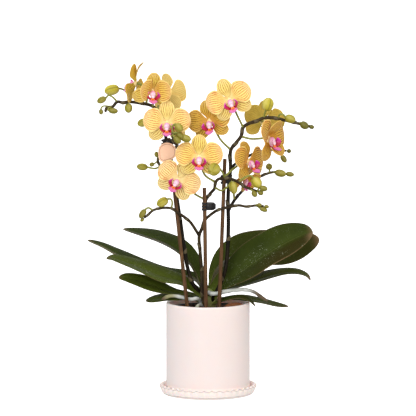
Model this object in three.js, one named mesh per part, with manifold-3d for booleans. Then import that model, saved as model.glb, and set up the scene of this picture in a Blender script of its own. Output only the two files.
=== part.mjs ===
// A potted moth orchid: three flower spikes with twelve striped blooms and their buds, held by three
// stakes, over a rosette of thick leaves, in a plain ceramic pot on a saucer with a fluted edge.
// Millimetres, +Z up. The origin lies on the pot's axis, at the flat underside of the saucer.
import * as THREE from 'three';
import { mergeVertices } from 'three/addons/utils/BufferGeometryUtils.js';
import Module from 'manifold-3d';

const wasm = await Module();
wasm.setup();

// Shared measures
const DEG = Math.PI / 180;
const GAP = 0.3;
const VIEW_TILT = 7 * DEG;

// Ceramic pot and saucer
const POT_RADIUS = 52.5;
const POT_WALL = 4;
const POT_RIM = 116;
const POT_FLOOR = 6;
const POT_SIDES = 40;
const SAUCER_RIM_RADIUS = 60.5;
const SAUCER_FOOT_RADIUS = 55;
const SAUCER_HEIGHT = 13;
const SAUCER_FLOOR = 5;
const SAUCER_FLUTES = 40;
const FLUTE_DEPTH = 0.7;

// Nursery pot and bark inside the ceramic pot
const NURSERY_RIM_RADIUS = 46.5;
const NURSERY_FOOT_RADIUS = 37;
const NURSERY_WALL = 1.2;
const NURSERY_RIM = 109;
const DRAIN_RADIUS = 4;
const DRAIN_REACH = 22;
const BARK_TOP = 105;
const BARK_SIDES = 18;
const CHIP_COUNT = 10;
const CHIP_REACH = 33;
const CHIP_TURN = 137.5 * DEG;

// Plant
const CROWN_SIDES = 10;
const LEAF_THICKNESS = 1.7;
const LEAF_EDGE = 0.8;
const STEM_SIDES = 5;
const ROOT_SIDES = 6;
const STALK_SIDES = 4;
const BUD_STALK_SIDES = 3;
const STALK_RADIUS = 1.1;
const BUD_SIDES = 5;
const TEPAL_THICKNESS = 0.8;
const STAKE_RADIUS = 2;
const STAKE_SIDES = 8;
const STAKE_FOOT = 40;

// The plant is laid out as it looks from the front, seen from a little above level:
// [across, up, depth] is mm to the right, mm up on the upright view plane, and mm away from the viewer.
function seen([across, up, depth]) {
  const height = (up - depth * Math.sin(VIEW_TILT)) / Math.cos(VIEW_TILT);
  return new THREE.Vector3(across, depth, height);
}

function smoothCurve(points) {
  return new THREE.CatmullRomCurve3(points, false, 'centripetal');
}

// Points on a smooth curve through the given ones, which are all kept, with more set between them.
function smoothPath(points, between) {
  return smoothCurve(points).getPoints((points.length - 1) * between);
}

function mix(a, b, share) {
  return a + (b - a) * share;
}

function smoothStep(low, high, x) {
  return THREE.MathUtils.smoothstep(x, low, high);
}

// Solids

// A closed mesh with its shared corners merged and its empty triangles dropped, as a solid to join or cut.
function solid(geometry) {
  const bare = geometry.clone();
  bare.deleteAttribute('normal');
  bare.deleteAttribute('uv');
  const merged = mergeVertices(bare, 1e-3);
  const corners = merged.index.array;
  const kept = [];
  for (let i = 0; i < corners.length; i += 3) {
    const [a, b, c] = [corners[i], corners[i + 1], corners[i + 2]];
    if (a !== b && b !== c && c !== a) kept.push(a, b, c);
  }
  return new wasm.Manifold(new wasm.Mesh({
    numProp: 3,
    vertProperties: Float32Array.from(merged.attributes.position.array),
    triVerts: Uint32Array.from(kept),
  }));
}

function joined(geometries) {
  return wasm.Manifold.union(geometries.map(solid));
}

function without(body, geometries) {
  return geometries.length ? body.subtract(joined(geometries)) : body;
}

// The largest body of a solid that a cut may have left in several.
function largestPart(body) {
  const parts = body.decompose();
  return parts.reduce((best, part) => (part.volume() > best.volume() ? part : best));
}

function geometryOf(body) {
  const mesh = body.getMesh();
  const geometry = new THREE.BufferGeometry();
  geometry.setAttribute('position', new THREE.BufferAttribute(mesh.vertProperties, 3));
  geometry.setIndex(new THREE.BufferAttribute(mesh.triVerts, 1));
  return geometry;
}

// Makers of shapes

// A thin closed blade. sheet(u, v) is a place on its middle surface, u in rows along it from 0 to 1,
// v across it from -1 to 1. Both faces are split into triangles alike.
function bladeGeometry(sheet, rows, columns, thicknessAt) {
  const small = 1e-3;
  const across = columns + 1;
  const front = [];
  const back = [];
  for (const u of rows) {
    for (let column = 0; column <= columns; column++) {
      const v = -1 + 2 * column / columns;
      const along = sheet(u + small, v).sub(sheet(u - small, v));
      const sideways = sheet(u, v + small).sub(sheet(u, v - small));
      const normal = along.cross(sideways).normalize();
      const half = thicknessAt(u, v) / 2;
      front.push(sheet(u, v).addScaledVector(normal, half));
      back.push(sheet(u, v).addScaledVector(normal, -half));
    }
  }
  const under = front.length;
  const index = [];
  for (let row = 0; row < rows.length - 1; row++) {
    for (let column = 0; column < columns; column++) {
      const a = row * across + column;
      const b = a + 1;
      const c = a + across;
      const d = c + 1;
      index.push(a, c, b, b, c, d);
      index.push(under + a, under + b, under + c, under + b, under + d, under + c);
    }
  }
  const edge = [];
  const last = rows.length - 1;
  for (let row = 0; row < last; row++) edge.push(row * across);
  for (let column = 0; column < columns; column++) edge.push(last * across + column);
  for (let row = last; row > 0; row--) edge.push(row * across + columns);
  for (let column = columns; column > 0; column--) edge.push(column);
  edge.forEach((p, i) => {
    const q = edge[(i + 1) % edge.length];
    index.push(p, under + p, under + q, p, under + q, q);
  });
  const geometry = new THREE.BufferGeometry().setFromPoints([...front, ...back]);
  geometry.setIndex(index);
  return geometry;
}

// A round stem with a ring of corners about each centre, tapering from its first radius to its last.
function stemGeometry(centres, [startRadius, endRadius], sides) {
  const last = centres.length - 1;
  const points = [];
  const index = [];
  const across = new THREE.Vector3(1, 0.3, 0.2);
  centres.forEach((centre, ring) => {
    const along = centres[Math.min(ring + 1, last)].clone().sub(centres[Math.max(ring - 1, 0)]).normalize();
    across.addScaledVector(along, -across.dot(along)).normalize();
    const upward = along.clone().cross(across);
    const radius = mix(startRadius, endRadius, (ring / last) ** 2);
    for (let side = 0; side < sides; side++) {
      const turn = 2 * Math.PI * side / sides;
      points.push(centre.clone()
        .addScaledVector(across, radius * Math.cos(turn))
        .addScaledVector(upward, radius * Math.sin(turn)));
    }
  });
  for (let ring = 0; ring < last; ring++) {
    for (let side = 0; side < sides; side++) {
      const a = ring * sides + side;
      const b = ring * sides + (side + 1) % sides;
      index.push(a, b, b + sides, a, b + sides, a + sides);
    }
  }
  const end = last * sides;
  for (let side = 1; side < sides - 1; side++) {
    index.push(0, side + 1, side);
    index.push(end, end + side, end + side + 1);
  }
  const geometry = new THREE.BufferGeometry().setFromPoints(points);
  geometry.setIndex(index);
  return geometry;
}

// A shape turned about the upright axis, from [radius, height] pairs that start and end on the axis.
function turnedGeometry(profile, sides) {
  const outline = profile.map(([radius, height]) => new THREE.Vector2(radius, height));
  return new THREE.LatheGeometry(outline, sides).rotateX(Math.PI / 2);
}

function ballGeometry(centre, [across, up, deep], sides = 6, rings = 4) {
  return new THREE.SphereGeometry(1, sides, rings).scale(across, up, deep).translate(...centre);
}

// An egg-shaped bud from its base to its tip, widest below the middle, with a small blunt point.
function budGeometry(base, tip, width) {
  const length = base.distanceTo(tip);
  const half = width / 2;
  const outline = [[0, 0], [0.82, 0.16], [1, 0.52], [0.6, 0.9], [0, 1]]
    .map(([radius, share]) => new THREE.Vector2(radius * half, share * length));
  const turn = new THREE.Quaternion();
  turn.setFromUnitVectors(new THREE.Vector3(0, 1, 0), tip.clone().sub(base).normalize());
  return new THREE.LatheGeometry(outline, BUD_SIDES).applyQuaternion(turn).translate(...base);
}

// Pot, saucer, nursery pot and bark

function saucer() {
  const floorRadius = POT_RADIUS + 1.5;
  const profile = [
    [0, 0], [SAUCER_FOOT_RADIUS, 0], [SAUCER_RIM_RADIUS, SAUCER_HEIGHT - 1],
    [SAUCER_RIM_RADIUS - 2, SAUCER_HEIGHT], [floorRadius, SAUCER_FLOOR], [0, SAUCER_FLOOR],
  ];
  const geometry = turnedGeometry(profile, 2 * SAUCER_FLUTES);
  fluteRim(geometry);
  return solid(geometry);
}

// Pushes the saucer's wall in and out between its foot and its rim, one wave to each flute.
function fluteRim(geometry) {
  const places = geometry.attributes.position;
  for (let i = 0; i < places.count; i++) {
    const [x, y, z] = [places.getX(i), places.getY(i), places.getZ(i)];
    const radius = Math.hypot(x, y);
    const share = smoothStep(SAUCER_FLOOR, SAUCER_HEIGHT - 2, z);
    const push = 1 + FLUTE_DEPTH * share * Math.cos(SAUCER_FLUTES * Math.atan2(y, x)) / Math.max(radius, 1);
    places.setX(i, x * push);
    places.setY(i, y * push);
  }
}

function pot() {
  const foot = SAUCER_FLOOR + GAP;
  const floor = foot + POT_FLOOR;
  const inner = POT_RADIUS - POT_WALL;
  return solid(turnedGeometry([
    [0, foot], [POT_RADIUS - 2, foot], [POT_RADIUS, foot + 2], [POT_RADIUS, POT_RIM - 2.2],
    [POT_RADIUS - 0.7, POT_RIM - 0.6], [POT_RADIUS - 2, POT_RIM], [inner + 0.6, POT_RIM - 0.7],
    [inner, POT_RIM - 2.4], [inner, floor], [0, floor],
  ], POT_SIDES));
}

function nurseryPot() {
  const foot = SAUCER_FLOOR + POT_FLOOR + 2 * GAP;
  const lip = NURSERY_RIM_RADIUS - 1.6;
  const rim = NURSERY_RIM;
  const body = solid(turnedGeometry([
    [0, foot], [NURSERY_FOOT_RADIUS, foot], [lip, rim - 5], [NURSERY_RIM_RADIUS, rim - 5],
    [NURSERY_RIM_RADIUS, rim], [lip - NURSERY_WALL, rim],
    [NURSERY_FOOT_RADIUS - NURSERY_WALL, foot + NURSERY_WALL], [0, foot + NURSERY_WALL],
  ], BARK_SIDES));
  const drains = [0, 1, 2, 3].map((corner) => {
    const turn = corner * Math.PI / 2;
    return new THREE.CylinderGeometry(DRAIN_RADIUS, DRAIN_RADIUS, 4 * NURSERY_WALL, 6).rotateX(Math.PI / 2)
      .translate(DRAIN_REACH * Math.cos(turn), DRAIN_REACH * Math.sin(turn), foot);
  });
  return without(body, drains);
}

// Draws the same numbers from 0 to 1 on every run.
function seededDraws(seed) {
  let state = seed;
  return () => {
    state = (state * 1664525 + 1013904223) % 4294967296;
    return state / 4294967296;
  };
}

// Bark chips: a filled plug with a ragged top, and turned chips sunk into it.
function bark(cutters) {
  const foot = SAUCER_FLOOR + POT_FLOOR + 2 * GAP + NURSERY_WALL + GAP;
  const slope = (NURSERY_RIM_RADIUS - 1.6 - NURSERY_FOOT_RADIUS) / (NURSERY_RIM - 5 - foot);
  const inset = NURSERY_WALL + 2.5 * GAP;
  const radiusAt = (height) => NURSERY_FOOT_RADIUS - inset + slope * (height - foot);
  const plug = turnedGeometry([
    [0, foot], [radiusAt(foot), foot], [radiusAt(BARK_TOP), BARK_TOP], [0, BARK_TOP + 1],
  ], BARK_SIDES);
  const draw = seededDraws(7);
  const chips = [];
  for (let i = 0; i < CHIP_COUNT; i++) {
    const turn = i * CHIP_TURN;
    const reach = mix(4, CHIP_REACH, Math.sqrt((i + 0.5) / CHIP_COUNT));
    const chip = new THREE.BoxGeometry(mix(9, 16, draw()), mix(6, 10, draw()), mix(3.5, 6, draw()));
    chip.rotateX(mix(-0.5, 0.5, draw())).rotateY(mix(-0.5, 0.5, draw())).rotateZ(turn + 3 * draw());
    chips.push(chip.translate(reach * Math.cos(turn), reach * Math.sin(turn), BARK_TOP + 0.6));
  }
  return largestPart(without(joined([plug, ...chips]), cutters));
}

// Crown, leaves and roots

const CROWN = { at: [0, 4], foot: 92 };
function crownGeometry(extra) {
  const foot = CROWN.foot - extra;
  return turnedGeometry([
    [0, foot], [7 + extra, foot], [12 + extra, 118], [10.5 + extra, 127],
    [5 + extra, 132 + extra], [0, 133 + extra],
  ], CROWN_SIDES).translate(CROWN.at[0], CROWN.at[1], 0);
}

// Each leaf follows its midrib. side is -1 for a leaf that grows to the left, 1 to the right.
// lean raises the far edge above the near one, and fold raises both edges above the midrib, in degrees,
// at the base and towards the tip. neck is the width at the base as a share of the greatest width,
// belly is how far along the leaf that is reached, and a lower taper gives a longer point.
// Each leaf is trimmed clear of those listed before it.
const LEAF = { neck: 0.42, belly: 0.5, taper: 2 };
const LEAVES = [
  { ...LEAF, name: 'leaf_left_front', side: -1, width: 44, lean: [23, 10], fold: [12, 6], taper: 2.4,
    midrib: [[-5, 122, 3], [-22, 133, 3], [-33, 140, 1], [-59, 147, -5], [-84, 157, -11],
      [-109, 166.5, -14.5], [-120, 170, -15], [-127, 169.5, -15]] },
  { ...LEAF, name: 'leaf_left_top', side: -1, width: 50, lean: [28, 3], fold: [34, 13],
    neck: 0.34, taper: 1.8,
    midrib: [[-5, 129, 9], [-11, 139, 12], [-16, 151, 15], [-24, 164, 18], [-39, 178, 20], [-60, 189.5, 22],
      [-85, 198.5, 24], [-107, 206, 25]] },
  { ...LEAF, name: 'leaf_left_long', side: -1, width: 42, lean: [8, 5], fold: [30, 13],
    midrib: [[-5, 126.5, 8], [-13, 139, 17], [-22, 144.5, 24], [-54, 147.5, 31], [-85, 158, 34],
      [-112, 171.5, 36], [-133, 183.5, 37], [-152, 192, 37]] },
  { ...LEAF, name: 'leaf_left_low', side: -1, width: 36, lean: [10, 36], fold: [16, 4],
    neck: 0.22, belly: 0.75, taper: 1.3,
    midrib: [[-5, 118, 7], [-22, 124, 9], [-41, 126, 10], [-56, 130, 10], [-74, 136.5, 9], [-90, 142, 8],
      [-104, 145.5, 7], [-112, 145.7, 7]] },
  { ...LEAF, name: 'leaf_left_rim', side: -1, width: 32, lean: [10, 15], fold: [12, 4],
    midrib: [[-5, 113, 5], [-22, 119, 5], [-45, 120.5, 3], [-62, 118.5, 1], [-78, 116, -1]] },
  { ...LEAF, name: 'leaf_right_front', side: 1, width: 60, lean: [40, 45], fold: [25, 13], taper: 2.4,
    midrib: [[6, 121, -1], [20, 137, 0], [42, 153, -3], [74, 175, -6], [102, 191, -7], [121, 200, -8],
      [131, 203, -8]] },
  { ...LEAF, name: 'leaf_right_back', side: 1, width: 54, lean: [5, 95], fold: [55, 0],
    neck: 0.36, taper: 1.5,
    midrib: [[8, 130, 12], [10.5, 139, 19], [14, 152, 27], [25, 167, 34], [42, 176, 39], [62, 178, 42],
      [82, 180, 43], [106, 184, 43], [128, 190.5, 42], [140, 194, 41]] },
  { ...LEAF, name: 'leaf_right_low', side: 1, width: 38, lean: [12, 8], fold: [16, 8],
    midrib: [[5, 117, 8], [22, 129, 10], [50, 137, 13], [78, 146.5, 14], [99, 151, 14], [115, 150.5, 12],
      [124, 147, 11], [128.5, 141.5, 10]] },
  { ...LEAF, name: 'leaf_right_rim', side: 1, width: 24, lean: [10, 12], fold: [8, 4],
    midrib: [[5, 112, 6], [18, 118, 7], [40, 119.5, 7], [65, 116, 6], [85, 111.5, 5], [101, 109, 4]] },
  { ...LEAF, name: 'leaf_right_small', side: 1, width: 11, lean: [20, 20], fold: [15, 15],
    midrib: [[5, 112, -4], [22, 118, -12], [38, 121, -15], [49, 118.5, -17], [55, 114, -18],
      [59, 110, -18]] },
];
const LEAF_ROWS = [0, 0.16, 0.34, 0.52, 0.7, 0.86, 0.96, 1];
const BROAD_LEAF = 40; // wider leaves get two strips on each side of the midrib
const LEAF_ARCH = 0.05; // how far each half bulges, as a share of its width

// How wide a leaf is along its length, as a share: narrow at the sheath, blunt at the tip.
function leafOutline({ neck, belly, taper }, u) {
  const swell = neck + (1 - neck) * smoothStep(0, belly, u);
  const close = Math.pow(Math.max(0, (u - 0.5) / 0.5), taper);
  return swell * Math.sqrt(Math.max(0.012, 1 - close));
}

function leafSheet(leaf) {
  const curve = smoothCurve(leaf.midrib.map(seen));
  const depthWay = new THREE.Vector3(0, 1, 0);
  return (u, v) => {
    const place = THREE.MathUtils.clamp(u, 0, 1);
    const midrib = curve.getPointAt(place);
    const along = curve.getTangentAt(place);
    const away = depthWay.clone().addScaledVector(along, -along.y).normalize();
    const upper = along.clone().cross(away).multiplyScalar(leaf.side).normalize();
    const lean = mix(leaf.lean[0], leaf.lean[1], place) * DEG;
    const fold = mix(leaf.fold[0], leaf.fold[1], place) * DEG;
    const angle = v > 0 ? fold + lean : fold - lean;
    const half = leafOutline(leaf, place) * leaf.width / 2;
    const reach = Math.abs(v) * half;
    const arch = LEAF_ARCH * half * Math.sin(Math.PI * Math.abs(v));
    return midrib
      .addScaledVector(away, Math.sign(v) * (reach * Math.cos(angle) - arch * Math.sin(angle)))
      .addScaledVector(upper, reach * Math.sin(angle) + arch * Math.cos(angle))
      .addScaledVector(along, u - place);
  };
}

function leafGeometry(leaf, extra) {
  const thickness = (u, v) => mix(LEAF_THICKNESS, LEAF_EDGE, Math.abs(v)) + 2 * extra;
  const columns = leaf.width > BROAD_LEAF ? 4 : 2;
  const sheet = leafSheet({ ...leaf, width: leaf.width + 2 * extra });
  return bladeGeometry(sheet, LEAF_ROWS, columns, thickness);
}

const ROOTS = [
  { name: 'aerial_root_left', radius: [2.4, 2.2],
    path: [[-9, 114, 0], [-11, 118, -7], [-14.5, 119.5, -13], [-22, 118.5, -16], [-32, 121, -16],
      [-42, 123, -16], [-49, 122.5, -16], [-58, 118.5, -17]] },
  { name: 'aerial_root_right', radius: [2.7, 1.9],
    path: [[1, 127, -5], [5, 125.5, -12], [12, 126, -14.5], [20, 128, -14], [38, 130.5, -12],
      [47, 130.5, -11], [57, 128, -11], [66, 122, -11], [75, 116, -11]] },
  { name: 'aerial_root_front', radius: [2.2, 2],
    path: [[-6, 110, -3], [-10, 111.5, -9], [-13, 110, -15], [-15, 105, -19], [-16, 98, -20]] },
];

function rootGeometry(root, extra) {
  const [start, end] = root.radius;
  const centres = smoothPath(root.path.map(seen), 1);
  return stemGeometry(centres, [start + extra, end + extra], ROOT_SIDES);
}

// Stakes, clips and tag

const STAKES = [
  { name: 'stake_left', foot: [-26, 110, -22], top: [-49, 320, -14] },
  { name: 'stake_middle', foot: [-2.5, 110, -19], top: [-4.5, 258, -19] },
  { name: 'stake_right', foot: [14, 110, -20], top: [21, 294, -18] },
];

function stakeGeometry(stake, extra) {
  const foot = seen(stake.foot);
  const top = seen(stake.top);
  const lean = top.clone().sub(foot).divideScalar(top.z - foot.z);
  const buried = foot.clone().addScaledVector(lean, STAKE_FOOT - foot.z - extra);
  const radius = STAKE_RADIUS + extra;
  return stemGeometry([buried, top.addScaledVector(lean, extra)], [radius, radius], STAKE_SIDES);
}

// Spring clips: a block that grips a stake and a spike, with grip ribs at one side.
const CLIPS = [
  { name: 'clip_left', at: [-50, 315, -11], size: [13, 12, 7], ribs: 2 },
  { name: 'clip_middle', at: [1, 235, -15], size: [14, 14, 9], ribs: 3 },
  { name: 'clip_right', at: [22.5, 268.5, -15], size: [11, 8, 10], ribs: 3 },
];

function clip(spec, cutters) {
  const [wide, deep, tall] = spec.size;
  const centre = seen(spec.at);
  const jaw = new THREE.CylinderGeometry(deep / 2, deep / 2, tall, 8).rotateX(Math.PI / 2);
  jaw.scale(wide / deep, 1, 1).translate(...centre);
  const grip = new THREE.BoxGeometry(wide * 0.4, deep * 0.5, tall * 0.7)
    .translate(centre.x + wide * 0.42, centre.y, centre.z);
  const ribs = [];
  for (let i = 0; i < spec.ribs; i++) {
    const height = centre.z + tall * ((i + 0.5) / spec.ribs - 0.5);
    ribs.push(new THREE.BoxGeometry(wide * 0.3, deep * 0.7, tall * 0.2)
      .translate(centre.x - wide * 0.45, centre.y, height));
  }
  return largestPart(without(joined([jaw, grip, ...ribs]), cutters));
}

// The tag is a thin card disc drawn out to a blunt point, low on its left.
const TAG = { at: [-51, 302.5, -17.5], reach: 11.8, point: 14, thickness: 1.2 };
function tag() {
  const outline = new THREE.Shape();
  const corners = 18;
  for (let i = 0; i < corners; i++) {
    const turn = 2 * Math.PI * i / corners;
    const nearPoint = Math.max(0, Math.cos(turn - 235 * DEG));
    const reach = mix(TAG.reach - 1.4 * nearPoint, TAG.point, Math.pow(nearPoint, 7));
    const [x, y] = [reach * Math.cos(turn), reach * Math.sin(turn)];
    if (i === 0) outline.moveTo(x, y);
    else outline.lineTo(x, y);
  }
  const card = new THREE.ExtrudeGeometry(outline, { depth: TAG.thickness, bevelEnabled: false });
  return solid(card.rotateX(Math.PI / 2).translate(...seen(TAG.at)));
}

// Blooms

// Each bloom's centre, and how it is turned in degrees: yaw to the right, pitch up, roll clockwise.
// cup is how far its petals close forward; the sepals behind them close less. A bloom seen from the
// side has its own turns, closings and twists instead, one for each entry of TEPALS.
const BLOOMS = [
  { name: 'bloom_left_1', at: [-90.5, 388.5, -4], yaw: -115, pitch: 10, roll: 24, size: 0.95,
    turns: [0, 132, -132, 108, -52], closings: [0, 5, 5, -8, 0], twists: [0, 0, 0, 0, 24] },
  { name: 'bloom_left_2', at: [-69, 378, -20], yaw: 8, pitch: 0, roll: 3, size: 1,
    turns: [0, 122, -109, 70, -72], closings: [35, 14, 0, 29, 30] },
  { name: 'bloom_left_3', at: [-50, 375, 8], yaw: 142, pitch: 0, roll: 5, cup: 4, size: 0.93 },
  { name: 'bloom_left_4', at: [-51, 338, -30], yaw: 0, pitch: 4, roll: 0, cup: 0, size: 1 },
  { name: 'bloom_middle_1', at: [-11, 296, -32], yaw: 0, pitch: 2, roll: 0, cup: 0, size: 1 },
  { name: 'bloom_middle_2', at: [-37, 268, -23], yaw: -8, pitch: 0, roll: 28, cup: 0, size: 0.97 },
  { name: 'bloom_middle_3', at: [50, 291, -4], yaw: 45, pitch: 6, roll: -10, size: 0.95,
    turns: [-8, 132, -132, 98, -60], closings: [5, 5, 5, 2, 6] },
  { name: 'bloom_middle_4', at: [46, 270, 18], yaw: 50, pitch: -25, roll: 20, cup: 18, size: 0.78 },
  { name: 'bloom_right_1', at: [27, 367, -26], yaw: -4, pitch: 0, roll: -24, cup: 0, size: 1 },
  { name: 'bloom_right_2', at: [2, 341, -10], yaw: -15, pitch: -4, roll: -12, cup: 4, size: 0.95 },
  { name: 'bloom_right_3', at: [69, 342, 22], yaw: 160, pitch: 0, roll: -8, cup: 8, size: 0.93 },
  { name: 'bloom_right_4', at: [75, 320, -10], yaw: 54, pitch: 6, roll: 0, size: 1.05,
    turns: [8, 142, -162, 82, -58], closings: [50, 22, -6, 8, 18] },
];

// Three sepals lie behind, two broad petals in front of them. turn is clockwise from straight up.
const SEPAL = {
  rows: [0, 0.4, 0.82, 1], columns: 1, start: 2.7, length: 25.3, width: 20, claw: 0.3, closing: 0.25,
  layer: -1, lift: 1.6, reflex: 2.5, dish: 0, wave: 0,
};
const PETAL = {
  rows: [0, 0.33, 0.66, 0.91, 1], columns: 2, start: 1.5, length: 28.5, width: 31, claw: 0.2, closing: 1,
  layer: 0.5, lift: 3.2, reflex: 2, dish: 1, wave: 0.8,
};
const TEPALS = [
  { ...SEPAL, turn: 0 },
  { ...SEPAL, turn: 132 },
  { ...SEPAL, turn: -132 },
  { ...PETAL, turn: 76 },
  { ...PETAL, turn: -76 },
];

// The hub joins the tepals. Its front lies just behind the lip, its back just before the stalk's end.
const HUB = { at: [0, -1.2, -0.2], radii: [4.2, 5.4, 3.2] };
const HUB_BACK = -3;

// How wide a tepal is along its length, as a share of its greatest width.
function tepalOutline(u, claw) {
  const swell = claw + (1 - claw) * smoothStep(0, 0.55, u);
  const close = Math.pow(Math.max(0, (u - 0.45) / 0.55), 2.3);
  return swell * Math.sqrt(Math.max(0.03, 1 - close));
}

function tepalSheet(tepal, posed) {
  const turn = posed.turn * DEG;
  const closed = posed.closed * DEG;
  const level = new THREE.Vector3(Math.sin(turn), Math.cos(turn), 0);
  const forward = new THREE.Vector3(0, 0, 1);
  const outward = level.clone().multiplyScalar(Math.cos(closed)).addScaledVector(forward, Math.sin(closed));
  const flatUpper = forward.clone().multiplyScalar(Math.cos(closed)).addScaledVector(level, -Math.sin(closed));
  const flatSide = new THREE.Vector3(Math.cos(turn), -Math.sin(turn), 0);
  const upper = flatUpper.clone().applyAxisAngle(outward, posed.twist * DEG);
  const sideways = flatSide.clone().applyAxisAngle(outward, posed.twist * DEG);
  return (u, v) => {
    const place = THREE.MathUtils.clamp(u, 0, 1);
    const half = tepalOutline(place, tepal.claw) * tepal.width / 2;
    const rise = tepal.lift * Math.sin(Math.PI * 0.8 * place) - tepal.reflex * place ** 3;
    const dished = tepal.dish * v * v * Math.sin(Math.PI * place);
    const waved = tepal.wave * v * Math.abs(v) * Math.sin(2 * Math.PI * place) * place;
    return level.clone().multiplyScalar(tepal.start)
      .addScaledVector(outward, u * tepal.length)
      .addScaledVector(sideways, v * half)
      .addScaledVector(upper, rise + dished + waved)
      .addScaledVector(forward, tepal.layer);
  };
}

function flowerFrame(bloom) {
  const turn = new THREE.Quaternion();
  const upright = new THREE.Matrix4().makeRotationX(Math.PI / 2);
  turn.setFromEuler(new THREE.Euler(-bloom.pitch * DEG, 0, bloom.yaw * DEG, 'ZYX'));
  const roll = new THREE.Matrix4().makeRotationZ(-bloom.roll * DEG);
  return new THREE.Matrix4().compose(seen(bloom.at), turn, new THREE.Vector3(1, 1, 1))
    .multiply(upright).multiply(roll)
    .scale(new THREE.Vector3(bloom.size, bloom.size, bloom.size));
}

function tepals(bloom) {
  const thickness = () => TEPAL_THICKNESS;
  const blades = TEPALS.map((tepal, order) => {
    const posed = {
      turn: bloom.turns ? bloom.turns[order] : tepal.turn,
      closed: bloom.closings ? bloom.closings[order] : bloom.cup * tepal.closing,
      twist: bloom.twists ? bloom.twists[order] : 0,
    };
    return bladeGeometry(tepalSheet(tepal, posed), tepal.rows, tepal.columns, thickness);
  });
  const hub = ballGeometry(HUB.at, HUB.radii, 6, 2);
  return joined([hub, ...blades].map((piece) => piece.applyMatrix4(flowerFrame(bloom))));
}

// The lip: a short column over two upright side lobes, a callus and a tongue that reaches forward.
const LIP_BACK = 1.5;
const SIDE_LOBE = { foot: [3.4, -10.4, 4.5], rise: [3.8, 8.6, 2.5], width: 5.4 };
const TONGUE = { from: [0, -9.6, 4], reach: 13, drop: 4.2, width: 12.6 };

function sideLobeSheet(side) {
  const [x, y, z] = SIDE_LOBE.foot;
  const [outward, up, forward] = SIDE_LOBE.rise;
  return (u, v) => {
    const half = SIDE_LOBE.width / 2 * (0.7 + 0.5 * Math.sin(Math.PI * u) - 0.25 * u);
    return new THREE.Vector3(
      side * (x + outward * Math.sin(Math.PI / 2 * u)),
      y + up * u - side * v * half * 0.25,
      z + forward * u + half + side * v * half,
    );
  };
}

function tongueSheet(u, v) {
  const [x, y, z] = TONGUE.from;
  const swell = smoothStep(0.1, 0.65, u) * Math.sqrt(Math.max(0.05, 1 - Math.max(0, (u - 0.6) / 0.4) ** 2));
  const half = TONGUE.width / 2 * (0.32 + 0.68 * swell) * (u > 0.6 ? mix(1, 0.45, (u - 0.6) / 0.4) : 1);
  return new THREE.Vector3(
    x - v * half,
    y - TONGUE.drop * Math.sin(Math.PI / 2 * u) + 0.8 * v * v,
    z + TONGUE.reach * u,
  );
}

function lip(bloom) {
  const lobeThickness = () => 0.9;
  const lobeRows = [0, 1];
  const tongueRows = [0, 0.55, 1];
  const pieces = [
    ballGeometry([0, -5.6, LIP_BACK + 3.9], [3.6, 6.2, 3.9], 6, 4),
    bladeGeometry(sideLobeSheet(1), lobeRows, 1, lobeThickness),
    bladeGeometry(sideLobeSheet(-1), lobeRows, 1, lobeThickness),
    bladeGeometry(tongueSheet, tongueRows, 2, lobeThickness),
  ];
  return joined(pieces.map((piece) => piece.applyMatrix4(flowerFrame(bloom))));
}

// Flower spikes

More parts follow.
